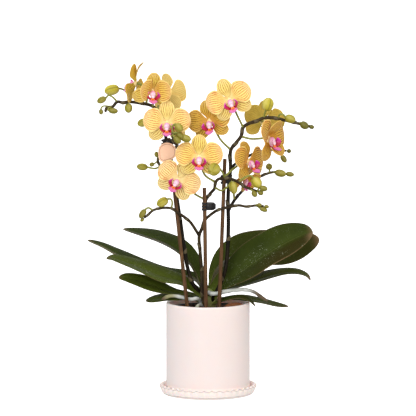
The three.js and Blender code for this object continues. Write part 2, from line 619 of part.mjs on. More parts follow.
// stem is the main stalk and branches leave it; each is a path and its radius at both ends.
// A bud hangs on its own stalk, from the stem to the bud's base, and points to tip.
// A bloom's stalk leaves the spike at from and runs by way of via to the bloom's back.
const SPIKES = [
  { name: 'flower_spike_left', radius: [2.2, 1.7],
    stem: [[-4, 122, 0], [-9, 127.5, -5], [-14.5, 132, -9], [-20, 140, -11], [-23, 149, -11], [-27, 165, -11],
      [-31, 192, -10], [-35, 220, -8], [-41, 258, -6], [-47, 284, -5], [-51, 305, -6], [-53, 325, -6],
      [-56, 342, -4], [-62, 353, -3], [-70, 360, -2], [-85, 363.5, -2], [-98, 365, -3], [-106, 364, -4],
      [-113, 365, -4], [-119, 359, -4], [-126, 358, -4], [-128, 352, -4]],
    branches: [
      { radius: [1.6, 1.3], path: [[-42, 262, -5], [-50, 276, -7], [-57, 282, -9], [-62, 290, -10],
        [-63, 296, -10]] },
      { radius: [1.6, 1.3], path: [[-51, 303, -6], [-43, 306, -8], [-38, 311, -20],
        [-40, 312, -32], [-43, 316, -40], [-44, 327, -45]] },
    ],
    buds: [
      { stalk: [[-96, 365, -2], [-99, 372, 8], [-104, 379.5, 13], [-111, 382, 8]], tip: [-129, 378, 1],
        width: 13.5 },
      { stalk: [[-113, 365, -4], [-119, 371, -6], [-124, 373, -6], [-127, 370, -6]],
        tip: [-138, 364.5, -7], width: 8.5 },
      { stalk: [[-98, 365, -3], [-99, 363, -6]], tip: [-99, 351, -8], width: 10 },
      { stalk: [[-119, 359, -4], [-124, 357, -7], [-124, 354.5, -8]], tip: [-112, 353, -10], width: 7.5 },
      { stalk: [[-119, 359, -4], [-131, 359.5, -5], [-133.5, 356, -5]], tip: [-133, 349, -5], width: 5.5 },
      { stalk: [[-57, 345, -4], [-68, 346, -4], [-75, 341, -5]], tip: [-88, 337, -6], width: 10.5 },
      { stalk: [[-44, 327, -45], [-44, 334, -46], [-40, 336.5, -47]], tip: [-32, 328, -51], width: 9.5 },
      { stalk: [[-44, 325, -44], [-42, 321, -46]], tip: [-34, 313, -48], width: 8 },
      { stalk: [[-44, 326, -45], [-38, 326, -45]], tip: [-31, 318.5, -46], width: 8 },
      { stalk: [[-44, 326, -44], [-34, 321, -42]], tip: [-21, 317, -43], width: 9.5 },
      { stalk: [[-59, 285, -10], [-66, 282, -11], [-75, 283.5, -11]], tip: [-89, 284.5, -12], width: 9 },
      { stalk: [[-62, 292, -10], [-67, 288, -11]], tip: [-73, 286, -12], width: 5.5 },
      { stalk: [[-63, 294, -10], [-63, 296, -10]], tip: [-65, 303, -10], width: 6 },
    ],
    flowers: [
      { bloom: 'bloom_left_1', from: [-77, 362, -2], via: [-76, 373, 2] },
      { bloom: 'bloom_left_2', from: [-69, 359, -2], via: [-68, 368, -10] },
      { bloom: 'bloom_left_3', from: [-63, 354, -3], via: [-60, 367, 4] },
      { bloom: 'bloom_left_4', from: [-54, 333, -5], via: [-52, 337, -12] },
    ] },
  { name: 'flower_spike_middle', radius: [2, 1.6],
    stem: [[-3, 108, -6], [-5, 115, -9.5], [-7, 124, -11], [-7.5, 134, -11], [-8, 155, -10],
      [-10, 180, -10], [-11, 198, -10], [-7, 209, -10], [-4, 221, -11], [-4, 234, -12],
      [-2, 244, -13], [3, 251, -14], [8, 257, -16], [9, 263, -19], [12, 268, -24], [19, 270, -28],
      [28, 269, -29], [38, 265, -29], [46, 259, -29], [54, 256, -28], [62, 253, -28]],
    branches: [
      { radius: [1.7, 1.3], path: [[-11, 198, -10], [-17, 208, -14], [-22, 215, -17],
        [-30, 222, -20], [-38, 227, -22], [-45, 232, -23], [-54, 233, -23], [-68, 230, -23],
        [-74, 225, -23], [-80, 220, -23]] },
      { radius: [1.7, 1.3], path: [[-4, 218, -11], [4, 225, -19], [12, 230, -25], [22, 233, -27],
        [38, 236, -27], [48, 234.5, -26], [61, 236, -25], [70, 235, -25]] },
    ],
    buds: [
      { stalk: [[-46, 232, -23], [-44.5, 239, -24], [-46, 243.5, -24], [-50, 244, -24]],
        tip: [-63.5, 236, -25], width: 11.5 },
      { stalk: [[-69, 230, -23], [-74, 233, -24], [-78, 231, -24]], tip: [-85, 220, -25], width: 8 },
      { stalk: [[-78, 222, -23], [-80, 220, -23]], tip: [-84, 216, -23], width: 4.5 },
      { stalk: [[9, 258, -17], [17, 254.5, -26], [25, 260, -33], [30, 266, -36]],
        tip: [33, 250, -37], width: 10.5 },
      { stalk: [[38, 265, -29], [46, 271, -31], [53, 273, -31], [56, 270.5, -31]], tip: [65, 258.5, -33],
        width: 13 },
      { stalk: [[61, 253, -28], [64, 258, -33]], tip: [74, 256, -35], width: 7.5 },
      { stalk: [[52, 256.5, -28], [55.5, 254, -31]], tip: [60, 246.5, -32], width: 7 },
      { stalk: [[60, 254, -28], [62, 253, -28]], tip: [69, 250.5, -28], width: 6.5 },
      { stalk: [[21, 270, -28], [18, 277, -36], [14, 282, -38], [10, 283, -40]], tip: [5, 278, -55],
        width: 15 },
      { stalk: [[58, 235.5, -25], [61, 237, -27]], tip: [67, 236, -29], width: 5 },
      { stalk: [[60, 236, -25], [64, 233, -25]], tip: [74, 229, -25], width: 6 },
      { stalk: [[68, 235, -25], [70, 235, -25]], tip: [76, 234, -25], width: 4.5 },
    ],
    flowers: [
      { bloom: 'bloom_middle_1', from: [9, 265, -20], via: [-4, 274, -20] },
      { bloom: 'bloom_middle_2', from: [-3, 243, -13], via: [-16, 250, -13] },
      { bloom: 'bloom_middle_3', from: [19, 270, -28], via: [31, 281, -17] },
    ] },
  { name: 'flower_spike_right', radius: [2.3, 1.7],
    stem: [[4, 116, -3], [9, 125, -7.5], [13, 133, -9.5], [17, 142, -11.5], [21, 153, -13],
      [24, 174, -13], [25, 193, -13],
      [25.5, 215, -12], [25, 240, -11], [26, 263, -11], [28, 280, -10], [28.5, 305, -8], [34, 313, -6],
      [41, 322, -5], [44.5, 334, -4], [52, 338.5, -3], [60, 341, -3], [70, 345, -3], [82, 345, -4],
      [96, 342, -5], [104, 340, -5], [113, 338, -5], [128, 334, -5]],
    branches: [
      { radius: [1.8, 1.4], path: [[25, 228, -12], [29, 236, -2], [35, 245, 14], [44, 255, 33],
        [56, 266, 45], [66, 272.5, 48], [76, 276.5, 49], [84, 278, 49], [98, 276, 48]] },
      { radius: [1.6, 1.3], path: [[28, 280, -10], [33, 287, 0], [44, 294, 16], [60, 302, 28],
        [78, 305.5, 32], [99, 304.5, 33]] },
    ],
    buds: [
      { stalk: [[70, 344.5, -3], [70.5, 350, -5], [72, 354, -6]], tip: [77, 370, -8], width: 15 },
      { stalk: [[87, 344.5, -4], [89.5, 349, -6], [94, 349, -7], [96, 346.5, -7]], tip: [109, 341, -9],
        width: 10.5 },
      { stalk: [[112, 338, -5], [115, 339, -6]], tip: [125, 332.5, -8], width: 9.5 },
      { stalk: [[124, 335, -5], [126, 334.5, -5]], tip: [132.5, 333, -5], width: 5.5 },
      { stalk: [[77, 276.7, 49], [77.5, 281, 48]], tip: [76, 289, 47], width: 8.5 },
      { stalk: [[80, 277.5, 49], [84, 278, 48]], tip: [98.5, 275, 47], width: 9.5 },
      { stalk: [[95, 276.5, 48], [98, 276, 48]], tip: [108.5, 274.5, 48], width: 6.5 },
      { stalk: [[61, 302, 28], [61.5, 303, 26]], tip: [67, 303, 24], width: 5 },
      { stalk: [[97, 304.5, 33], [99, 304.5, 33]], tip: [104.5, 304, 33], width: 5.5 },
      { stalk: [[90, 305, 32.5], [92, 299, 33]], tip: [98, 290, 33], width: 7 },
    ],
    flowers: [
      { bloom: 'bloom_middle_4', from: [33, 242, 8.5], via: [33, 257, 20] },
      { bloom: 'bloom_right_1', from: [44, 333, -4], via: [36, 349, -12] },
      { bloom: 'bloom_right_2', from: [28.5, 305, -8], via: [15, 319, -2] },
      { bloom: 'bloom_right_3', from: [60, 341, -3], via: [66, 342, 4] },
      { bloom: 'bloom_right_4', from: [41, 322, -5], via: [54, 319, -5] },
    ] },
];

function flowerStalk({ bloom: name, from, via }) {
  const bloom = BLOOMS.find((other) => other.name === name);
  const frame = flowerFrame(bloom);
  const behind = new THREE.Vector3(0, 0, HUB_BACK - 4.5).applyMatrix4(frame);
  const end = new THREE.Vector3(0, 0, HUB_BACK - GAP / bloom.size).applyMatrix4(frame);
  const centres = [...smoothPath([seen(from), seen(via), behind], 2), end];
  return stemGeometry(centres, [STALK_RADIUS, STALK_RADIUS], STALK_SIDES);
}

function budPieces({ stalk, tip, width }) {
  const base = seen(stalk[stalk.length - 1]);
  const sunk = base.clone().addScaledVector(seen(tip).sub(base).normalize(), 1);
  const radius = Math.min(STALK_RADIUS, width / 5);
  return [
    stemGeometry([...stalk.map(seen), sunk], [radius, radius], BUD_STALK_SIDES),
    budGeometry(base, seen(tip), width),
  ];
}

function spikeStem(spike, extra) {
  const [start, end] = spike.radius;
  return stemGeometry(spike.stem.map(seen), [start + extra, end + extra], STEM_SIDES);
}

function spike(spec) {
  const branches = spec.branches.map((branch) => (
    stemGeometry(branch.path.map(seen), branch.radius, STALK_SIDES)));
  const buds = spec.buds.flatMap(budPieces);
  const stalks = spec.flowers.map(flowerStalk);
  return joined([spikeStem(spec, 0), ...branches, ...buds, ...stalks]);
}

// Assembly

const FINISHES = {
  ceramic: { color: 0xf7e9e5, roughness: 0.45, metalness: 0 },
  nursery: { color: 0x2a2a2a, roughness: 0.5, metalness: 0 },
  bark: { color: 0x4a3021, roughness: 0.95, metalness: 0 },
  crown: { color: 0x7c8a4a, roughness: 0.7, metalness: 0 },
  leaf: { color: 0x40602c, roughness: 0.4, metalness: 0 },
  root: { color: 0xc3c9c0, roughness: 0.8, metalness: 0 },
  wood: { color: 0x84573c, roughness: 0.8, metalness: 0 },
  clip: { color: 0x161618, roughness: 0.4, metalness: 0 },
  card: { color: 0xf2c3a2, roughness: 0.7, metalness: 0 },
  spike: { color: 0x565230, roughness: 0.6, metalness: 0 },
  tepal: { color: 0xf3c55a, roughness: 0.5, metalness: 0 },
  lip: { color: 0xd8489a, roughness: 0.4, metalness: 0 },
};

const plant = new THREE.Group();
function place(name, body, finish) {
  const mesh = new THREE.Mesh(geometryOf(body), new THREE.MeshStandardMaterial(FINISHES[finish]));
  mesh.name = name;
  plant.add(mesh);
}

const stakeHoles = STAKES.map((stake) => stakeGeometry(stake, GAP));
const spikeHoles = SPIKES.map((spec) => spikeStem(spec, GAP));
const rootHoles = ROOTS.map((root) => rootGeometry(root, GAP));
const crownHole = crownGeometry(GAP);

place('saucer', saucer(), 'ceramic');
place('pot', pot(), 'ceramic');
place('nursery_pot', nurseryPot(), 'nursery');
place('bark', bark([crownHole, ...stakeHoles, ...rootHoles]), 'bark');
place('crown', largestPart(without(solid(crownGeometry(0)), [...spikeHoles, ...rootHoles])), 'crown');
const leafCutters = [crownHole, ...rootHoles, ...spikeHoles];
for (const leaf of LEAVES) {
  place(leaf.name, largestPart(without(solid(leafGeometry(leaf, 0)), leafCutters)), 'leaf');
  leafCutters.push(leafGeometry(leaf, GAP));
}
for (const root of ROOTS) place(root.name, solid(rootGeometry(root, 0)), 'root');
for (const stake of STAKES) place(stake.name, solid(stakeGeometry(stake, 0)), 'wood');
for (const spec of CLIPS) place(spec.name, clip(spec, [...stakeHoles, ...spikeHoles]), 'clip');
place('tag', tag(), 'card');
for (const spec of SPIKES) place(spec.name, spike(spec), 'spike');
for (const bloom of BLOOMS) {
  place(bloom.name, tepals(bloom), 'tepal');
  place(`${bloom.name}_lip`, lip(bloom), 'lip');
}

export default plant;
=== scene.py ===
# %% [markdown]
# # A potted moth orchid
#
# This lesson dresses the plain solids of a small moth orchid: three flower spikes with striped
# yellow blooms, a rosette of thick leaves, a round ceramic pot and its fluted saucer.
# Every cell makes one thing. A cell of words comes first and says what the thing is on the real
# plant, how it could be made, and why it is made this way here.
#
# The solids come from the frame in model.glb. Each new piece stands where its solid
# stands, takes its place, and rides on the same body.

# %% Load the frame
import math

import bpy
import mathutils
import numpy as np
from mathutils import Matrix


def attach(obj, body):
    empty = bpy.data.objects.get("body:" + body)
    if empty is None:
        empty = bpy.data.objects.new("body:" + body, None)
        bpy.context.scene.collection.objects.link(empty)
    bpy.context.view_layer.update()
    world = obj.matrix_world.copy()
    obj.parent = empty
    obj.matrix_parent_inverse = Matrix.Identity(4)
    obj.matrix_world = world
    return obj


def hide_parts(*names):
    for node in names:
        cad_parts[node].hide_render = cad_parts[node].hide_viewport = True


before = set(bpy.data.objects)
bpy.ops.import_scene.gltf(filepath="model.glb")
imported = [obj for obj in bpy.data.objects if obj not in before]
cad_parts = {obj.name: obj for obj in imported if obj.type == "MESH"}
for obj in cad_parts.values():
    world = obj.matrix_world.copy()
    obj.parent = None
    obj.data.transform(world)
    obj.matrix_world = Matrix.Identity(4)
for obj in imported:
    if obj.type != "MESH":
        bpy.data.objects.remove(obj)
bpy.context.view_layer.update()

# %% [markdown]
# ## How places are written down
#
# The plant was laid out as it looks from the front, from seven degrees above level. A place is
# written as [across, up, depth] in millimetres: to the right, up on the upright view plane, and
# away from the viewer. `seen` turns that into real width, depth and height.
# It could all be written as plain coordinates, but these numbers can be checked by eye.
#
# Three small helpers are used all through. `unit` gives vectors the length one, `soft_step` rises
# smoothly from 0 to 1 between two values, and `between` blends two values by a share.

# %% Places
MM = 0.001
DEG = math.pi / 180
VIEW_TILT = 7 * DEG


def seen(place):
    across, up, depth = place
    return np.array([across, depth, (up - depth * math.sin(VIEW_TILT)) / math.cos(VIEW_TILT)], float)


def unit(vectors):
    return vectors / np.maximum(np.linalg.norm(vectors, axis=-1, keepdims=True), 1e-12)


def soft_step(low, high, values):
    share = np.clip((values - low) / (high - low), 0, 1)
    return share * share * (3 - 2 * share)


def between(low, high, share):
    return low + (high - low) * share


print("a place 100 mm up, 20 mm back:", seen([0, 100, 20]).round(1))

# %% [markdown]
# ## From shapes to pieces
#
# A shape here is its points, its faces and a place for each point: how far along it is, how far
# around or across, and one more number, its mark. A piece gathers shapes, each with its own
# finish, and becomes one object. It takes the place of its solid and rides on the one body there
# is. Separate objects could be joined by hand instead, but a spike alone has about fifty of them.
# The places go into an attribute called `place`, which the finishes read to draw veins and grain.
# A second one, `care`, holds three more numbers for each point, such as how brown or how dusty a
# leaf is there.

# %% Pieces
made = {}


class Piece:
    def __init__(self, name):
        self.name = name
        self.points, self.faces, self.places, self.care = [], [], [], []
        self.finishes, self.finish_of_face, self.count = [], [], 0

    def add(self, shape, finish, care=None):
        points, faces, places = shape
        if finish not in self.finishes:
            self.finishes.append(finish)
        self.points.append(points)
        self.places.append(places)
        self.care.append(np.zeros((len(points), 3)) if care is None else care)
        self.faces += [tuple(corner + self.count for corner in face) for face in faces]
        self.finish_of_face += [self.finishes.index(finish)] * len(faces)
        self.count += len(points)

    def stand_for(self, node):
        mesh = bpy.data.meshes.new(self.name)
        mesh.from_pydata((np.vstack(self.points) * MM).tolist(), [], self.faces)
        for finish in self.finishes:
            mesh.materials.append(finish)
        mesh.polygons.foreach_set("material_index", self.finish_of_face)
        mesh.polygons.foreach_set("use_smooth", [True] * len(self.faces))
        for word, values in (("place", self.places), ("care", self.care)):
            layer = mesh.attributes.new(word, "FLOAT_VECTOR", "POINT")
            layer.data.foreach_set("vector", np.vstack(values).astype(np.float32).reshape(-1))
        mesh.update()
        piece = bpy.data.objects.new(self.name, mesh)
        bpy.context.scene.collection.objects.link(piece)
        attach(piece, "root")
        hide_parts(node)
        made[self.name] = len(self.faces)


print("pieces will be counted in", type(made).__name__)

# %% [markdown]
# ## Finishes
#
# A finish is a material made of nodes. Placing nodes by hand in the shader editor is the usual
# way to learn them. Here a small class adds and joins them, so that a finish reads as a short
# recipe: where on the piece am I, how strong is each marking there, and which colours mix.
# Values that are the same everywhere go straight onto the shader's own sockets.

# %% Nodes and their sockets
class Nodes:
    def __init__(self, name, **sockets):
        self.material = bpy.data.materials.new(name)
        self.material.use_nodes = True
        self.tree = self.material.node_tree
        self.shader = next(node for node in self.tree.nodes if node.type == "BSDF_PRINCIPLED")
        for socket, value in sockets.items():
            self.shader.inputs[socket.replace("_", " ")].default_value = value

    def put(self, value, socket):
        if isinstance(value, bpy.types.NodeSocket):
            self.tree.links.new(value, socket)
        elif isinstance(value, tuple) and len(value) == 3 and socket.type == "RGBA":
            socket.default_value = (*value, 1)
        else:
            socket.default_value = value

    def node(self, kind, **settings):
        node = self.tree.nodes.new(kind)
        for setting, value in settings.items():
            setattr(node, setting, value)
        return node

    def end(self, colour, roughness=None, normal=None):
        for value, word in ((colour, "Base Color"), (roughness, "Roughness"), (normal, "Normal")):
            if value is not None:
                self.put(value, self.shader.inputs[word])
        return self.material


print("a finish starts from", bpy.types.ShaderNodeBsdfPrincipled.bl_rna.name)

# %% [markdown]
# ## Words for values and colours
#
# Each word of a recipe adds one node. `math`, `times` and `plus` reckon with two values, `step`
# turns a value into a smooth edge between two numbers, and `mix` and `ramp` choose colours. The
# same nodes could be laid out on screen; as words they can be read from top to bottom.

# %% Words for values and colours
class Recipe(Nodes):
    def math(self, operation, a, b=0.0, clamp=False):
        node = self.node("ShaderNodeMath", operation=operation, use_clamp=clamp)
        self.put(a, node.inputs[0])
        self.put(b, node.inputs[1])
        return node.outputs[0]

    def times(self, a, b, clamp=False):
        return self.math("MULTIPLY", a, b, clamp)

    def plus(self, a, b):
        return self.math("ADD", a, b)

    def step(self, value, low, high, start=0.0, end=1.0):
        node = self.node("ShaderNodeMapRange", interpolation_type="SMOOTHSTEP")
        for socket, number in zip(node.inputs, (value, low, high, start, end)):
            self.put(number, socket)
        return node.outputs[0]

    def mix(self, share, a, b, blend="MIX"):
        node = self.node("ShaderNodeMix", data_type="RGBA", blend_type=blend)
        self.put(share, node.inputs[0])
        self.put(a, node.inputs[6])
        self.put(b, node.inputs[7])
        return node.outputs[2]

    def ramp(self, value, stops):
        node = self.node("ShaderNodeValToRGB")
        band = node.color_ramp
        while len(band.elements) < len(stops):
            band.elements.new(0.5)
        for element, (spot, colour) in zip(band.elements, stops):
            element.position = spot
            element.color = (*colour, 1)
        self.put(value, node.inputs[0])
        return node.outputs[0]


print("words:", [word for word in vars(Recipe) if not word.startswith("_")])

# %% [markdown]
# ## Words for places and textures
#
# `place` and `room` say where on the piece a point is, by its own attribute or in space. `spot`
# joins values into a place, and `stretched` pulls space along its axes. `noise` gives clouds and
# grain, and `bump` gives a fine relief, which can lie on top of another one. Images would need
# an unwrapped skin. These words need nothing but the point itself.

# %% Words for places and textures
class Finish(Recipe):
    def place(self, word="place"):
        source = self.node("ShaderNodeAttribute", attribute_name=word)
        split = self.node("ShaderNodeSeparateXYZ")
        self.put(source.outputs["Vector"], split.inputs[0])
        return split.outputs[0], split.outputs[1], split.outputs[2]

    def spot(self, x, y, z=0.0):
        node = self.node("ShaderNodeCombineXYZ")
        for value, socket in zip((x, y, z), node.inputs):
            self.put(value, socket)
        return node.outputs[0]

    def room(self):
        return self.node("ShaderNodeTexCoord").outputs["Object"]

    def stretched(self, x, y, z):
        node = self.node("ShaderNodeVectorMath", operation="MULTIPLY")
        self.put(self.room(), node.inputs[0])
        node.inputs[1].default_value = (x, y, z)
        return node.outputs[0]

    def height(self):
        split = self.node("ShaderNodeSeparateXYZ")
        self.put(self.room(), split.inputs[0])
        return split.outputs[2]

    def noise(self, where, scale, detail=2.0, roughness=0.5):
        node = self.node("ShaderNodeTexNoise")
        values = ((where, "Vector"), (scale, "Scale"), (detail, "Detail"), (roughness, "Roughness"))
        for value, word in values:
            self.put(value, node.inputs[word])
        return node.outputs[0]

    def bump(self, height, distance, strength, under=None):
        node = self.node("ShaderNodeBump")
        for value, word in ((height, "Height"), (distance, "Distance"), (strength, "Strength")):
            self.put(value, node.inputs[word])
        if under is not None:
            self.put(under, node.inputs["Normal"])
        return node.outputs[0]


print("words:", [word for word in vars(Finish) if not word.startswith("_")])

# %% [markdown]
# ## Paints
#
# Colours could be written as the light values that Blender wants, but those are hard to picture.
# They are written as a paint chart gives them, from 0 to 255, and `paint` turns them into light.

# %% Paints
def paint(red, green, blue):
    """A colour as a paint chart gives it, from 0 to 255, as the light values that Blender wants."""
    values = np.array([red, green, blue]) / 255
    light = np.where(values <= 0.04045, values / 12.92, ((values + 0.055) / 1.055) ** 2.4)
    return tuple(float(value) for value in light)


def paints(stops):
    """The stops of a ramp, each a spot from 0 to 1 and a colour of the paint chart."""
    return [(spot, paint(*colour)) for spot, colour in stops]


print("a pale pink is", [round(value, 3) for value in paint(250, 237, 233)])

# %% [markdown]
# ## The camera
#
# The photo was taken from far away and a little above, so upright lines stay upright. A camera
# six metres off with a long lens does the same. An orthographic camera would come close too, but
# the small narrowing towards the back of pot and saucer belongs to the picture.

# %% Camera
AIM = np.array([0, 0, 0.2345])
AWAY = 6.0
HALF_VIEW = 0.26
SENSOR_WIDTH = 36
scene = bpy.context.scene
scene.view_settings.view_transform = "Standard"
lens = bpy.data.cameras.new("camera")
lens.sensor_width = SENSOR_WIDTH
lens.lens = SENSOR_WIDTH / 2 / (HALF_VIEW / AWAY)
camera = bpy.data.objects.new("camera", lens)
camera.location = AIM + AWAY * np.array([0, -math.cos(VIEW_TILT), math.sin(VIEW_TILT)])
camera.rotation_euler = (math.pi / 2 - VIEW_TILT, 0, 0)
scene.collection.objects.link(camera)
scene.camera = camera
print("camera", [round(value, 2) for value in camera.location], "lens", round(lens.lens), "mm")

# %% [markdown]
# ## The light
#
# The light in the photo is soft and comes from all round, as in a white tent. A dim white world
# gives that. A large lamp at the front left shapes the petals, a weaker and warmer one at the
# front right lights the other side of the pot, and one above brightens the leaves.

# %% Light
ROOM_LIGHT = 0.74
world = bpy.data.worlds.new("soft_world")
world.use_nodes = True
background = world.node_tree.nodes["Background"]
background.inputs[0].default_value = (1, 1, 1, 1)
background.inputs[1].default_value = ROOM_LIGHT
scene.world = world


def lamp(name, spot, size, power, colour=(1, 1, 1)):
    light = bpy.data.lights.new(name, "AREA")
    light.shape = "SQUARE"
    light.size = size
    light.energy = power
    light.color = colour
    holder = bpy.data.objects.new(name, light)
    holder.location = spot
    holder.rotation_euler = (mathutils.Vector(AIM) - holder.location).to_track_quat("-Z", "Y").to_euler()
    scene.collection.objects.link(holder)


lamp("front_left_lamp", (-0.6, -1.8, 0.9), 1.2, 19)
lamp("front_right_lamp", (1.2, -1.4, 0.7), 0.9, 6.5, (1, 0.8, 0.66))
lamp("top_lamp", (0.1, -0.3, 1.9), 1.2, 8)

# %% [markdown]
# ## Floor and white room
#
# The floor is a plain white disc. Further out it glows by itself, so that it fades into the room
# with no line. The room is a large white ball round everything. Both are there to be looked at
# only: they are hidden from the light that bounces, so they don't wash out the pot and the leaves.

# %% Floor and room
FLOOR_RADIUS, FLOOR_HEIGHT, ROOM_RADIUS, STAGE_SIDES = 1.6, -0.0003, 9.0, 64


def stage_mesh(name, radii_and_heights, glow_from, glow_to):
    turns = 2 * math.pi * np.arange(STAGE_SIDES) / STAGE_SIDES
    points = [(radius * math.cos(turn), radius * math.sin(turn), height)
              for radius, height in radii_and_heights for turn in turns]
    faces = []
    for row in range(len(radii_and_heights) - 1):
        for side in range(STAGE_SIDES):
            a, b = row * STAGE_SIDES + side, row * STAGE_SIDES + (side + 1) % STAGE_SIDES
            faces.append((a, b, b + STAGE_SIDES, a + STAGE_SIDES))
    mesh = bpy.data.meshes.new(name)
    mesh.from_pydata(points, [], faces)
    sheet = bpy.data.objects.new(name, mesh)
    scene.collection.objects.link(sheet)
    white = Finish(name + "_white", Roughness=0.8, Specular_IOR_Level=0.1, Emission_Color=(1, 1, 1, 1))
    apart = white.node("ShaderNodeVectorMath", operation="LENGTH")
    white.put(white.room(), apart.inputs[0])
    glow = white.step(apart.outputs["Value"], 0.1, FLOOR_RADIUS, glow_from, glow_to)
    white.put(glow, white.shader.inputs["Emission Strength"])
    grain = white.noise(white.room(), 30.0)
    mesh.materials.append(white.end(white.mix(grain, (0.9, 0.9, 0.9), (0.93, 0.93, 0.93))))
    return sheet


rings = np.linspace(0.0005, 1, 12) * FLOOR_RADIUS
floor = stage_mesh("floor", [(radius, FLOOR_HEIGHT) for radius in rings], 0.75, 1.0)
floor.visible_diffuse = floor.visible_glossy = False
rows = np.linspace(0.001, math.pi - 0.001, 25)
ball_rows = [(ROOM_RADIUS * math.sin(row), ROOM_RADIUS * math.cos(row)) for row in rows]
room = stage_mesh("white_room", ball_rows, 1.0, 1.0)
room.visible_diffuse = room.visible_glossy = room.visible_transmission = room.visible_shadow = False
print("stage:", len(floor.data.polygons), "and", len(room.data.polygons), "faces")

# %% [markdown]
# ## The glaze
#
# Pot and saucer are glazed ceramic in a very pale pink. An even colour would look like plastic,
# and a painted image would need seams. So the glaze gets faint clouds of colour, a slightly
# uneven gloss and a fine orange-peel bump, all from noise, and lets a little light pass under
# its skin. Below the saucer's rim height the glaze is painted a shade lighter than the pot, as painted
# light for the saucer's wall that faces down and gets less light, so the colour changes just below its rim.

# %% The glaze
# Heights where the glaze changes to the lighter saucer tone, which is painted light.
SAUCER_PAINTED_LIGHT = (0.012, 0.0145)
glaze = Finish("pale_glaze", Specular_IOR_Level=0.45, Coat_Weight=0.3, Coat_Roughness=0.18,
               Subsurface_Weight=0.35, Subsurface_Radius=(1.0, 0.55, 0.4), Subsurface_Scale=0.008)
where = glaze.room()
clouds = glaze.noise(where, 14.0, 3.0)
specks = glaze.step(glaze.noise(where, 900.0, 1.0), 0.7, 0.78)
body = glaze.mix(clouds, paint(232, 217, 213), paint(237, 223, 220))
# Painted light: below the saucer's rim height the glaze is painted lighter, for the light its wall facing
# down doesn't get.
low = glaze.step(glaze.height(), *SAUCER_PAINTED_LIGHT, 1.0, 0.0)
body = glaze.mix(low, body, glaze.mix(clouds, paint(247, 232, 227), paint(250, 237, 232)))
body = glaze.mix(glaze.times(specks, 0.12), body, paint(195, 170, 158))
gloss = glaze.step(glaze.noise(where, 60.0, 2.0), 0.3, 0.7, 0.34, 0.46)
peel = glaze.bump(glaze.noise(where, 700.0, 2.0), 0.00005, 0.5)
pale_glaze = glaze.end(body, gloss, peel)
print("glaze:", len(glaze.tree.nodes), "nodes")

# %% [markdown]
# ## Turned shapes
#
# Pot, saucer and buds are round, like things shaped on a wheel. Blender's screw modifier turns
# an outline into such a shape. Here each point of the profile becomes a ring, and one more point
# closes each end, so that every point knows its share of the way along the profile and round
# the axis. That is its place.

# %% Turned shapes
def ring_faces(rows, sides):
    """Faces over rows of ring points, closed by one centre point before them and one after."""
    faces = []
    for row in range(rows - 1):
        for side in range(sides):
            a, b = row * sides + side, row * sides + (side + 1) % sides
            faces.append((a, b, b + sides, a + sides))
    last_row = (rows - 1) * sides
    for side in range(sides):
        after = (side + 1) % sides
        faces.append((rows * sides, after, side))
        faces.append((rows * sides + 1, last_row + side, last_row + after))
    return faces


def ring_places(shares, sides, mark):
    along = np.concatenate([np.repeat(shares, sides), [0, 1]])
    around = np.concatenate([np.tile(np.arange(sides) / sides, len(shares)), [0, 0]])
    return np.stack([along, around, np.full(len(along), mark)], 1)


def turned(profile, sides, mark=0.0):
    """The profile is a list of (radius, height), and starts and ends on the axis."""
    radii, heights = np.array(profile, float).T
    turns = 2 * math.pi * np.arange(sides) / sides
    ring = np.stack([np.cos(turns), np.sin(turns)], 1)
    rings = [np.column_stack([radius * ring, np.full(sides, height)])
             for radius, height in zip(radii[1:-1], heights[1:-1])]
    points = np.vstack(rings + [[[0, 0, heights[0]]], [[0, 0, heights[-1]]]])
    shares = np.linspace(0, 1, len(profile))[1:-1]
    return points, ring_faces(len(rings), sides), ring_places(shares, sides, mark)


print("a plain disc of", len(turned([(0, 0), (5, 0), (5, 1), (0, 1)], 12)[0]), "points")

# %% [markdown]
# ## Rounded profiles
#
# Glazed clay has no sharp edges. A bevel modifier could round them off afterwards. It is simpler
# to round the profile before it is turned: `rounded` puts an arc at each corner, and `spaced`
# divides the long straight runs, so that the skin has even faces.

# %% Profiles
def rounded(corners, cut=8):
    """A profile whose corners, given as (radius, height, rounding), are replaced by short arcs."""
    out = []
    for index, (x, y, rounding) in enumerate(corners):
        here = np.array([x, y], float)
        if rounding == 0 or index in (0, len(corners) - 1):
            out.append(here)
            continue
        before = unit(np.array(corners[index - 1][:2], float) - here)
        after = unit(np.array(corners[index + 1][:2], float) - here)
        start, end = here + before * rounding, here + after * rounding
        for share in np.linspace(0, 1, cut):
            out.append((1 - share) ** 2 * start + 2 * share * (1 - share) * here + share ** 2 * end)
    return out


def spaced(profile, longest):
    """The same profile with long straight runs divided."""
    out = [profile[0]]
    for here in profile[1:]:
        last = np.array(out[-1], float)
        count = max(1, int(np.linalg.norm(np.array(here) - last) / longest))
        out += [last + (np.array(here) - last) * step / count for step in range(1, count + 1)]
    return out


print("a rounded square corner takes", len(rounded([(0, 0, 0), (5, 0, 1), (5, 5, 0)])), "points")

# %% [markdown]
# ## The pot
#
# The pot is a plain round one with upright sides and softly rounded edges. A cylinder with a
# bevel would do, but a profile says more: it gives the outside, the rim, the inside and the
# floor in one line.

# %% Pot
POT_RADIUS, POT_WALL, POT_RIM, POT_FLOOR = 52.5, 4.0, 116.0, 6.0
SAUCER_FLOOR = 5.0
GAP = 0.3
pot_foot = SAUCER_FLOOR + GAP
pot_inner = POT_RADIUS - POT_WALL
pot_profile = rounded([
    (0, pot_foot, 0), (POT_RADIUS, pot_foot, 2.4), (POT_RADIUS, POT_RIM, 1.9),
    (pot_inner, POT_RIM, 1.9), (pot_inner, pot_foot + POT_FLOOR, 3), (0, pot_foot + POT_FLOOR, 0),
])
pot = Piece("ceramic_pot")
pot.add(turned(spaced(pot_profile, 9), 144), pale_glaze)
pot.stand_for("pot")
print("pot:", made["ceramic_pot"], "faces")

# %% [markdown]
# ## The saucer
#
# The saucer's wall swells in forty shallow scallops, which grow from nothing at its foot to a
# wavy edge at its rim. They could be carved one by one. It is easier to turn a plain saucer with
# twelve points to a scallop, and then to push each point in or out by a wave that goes round.

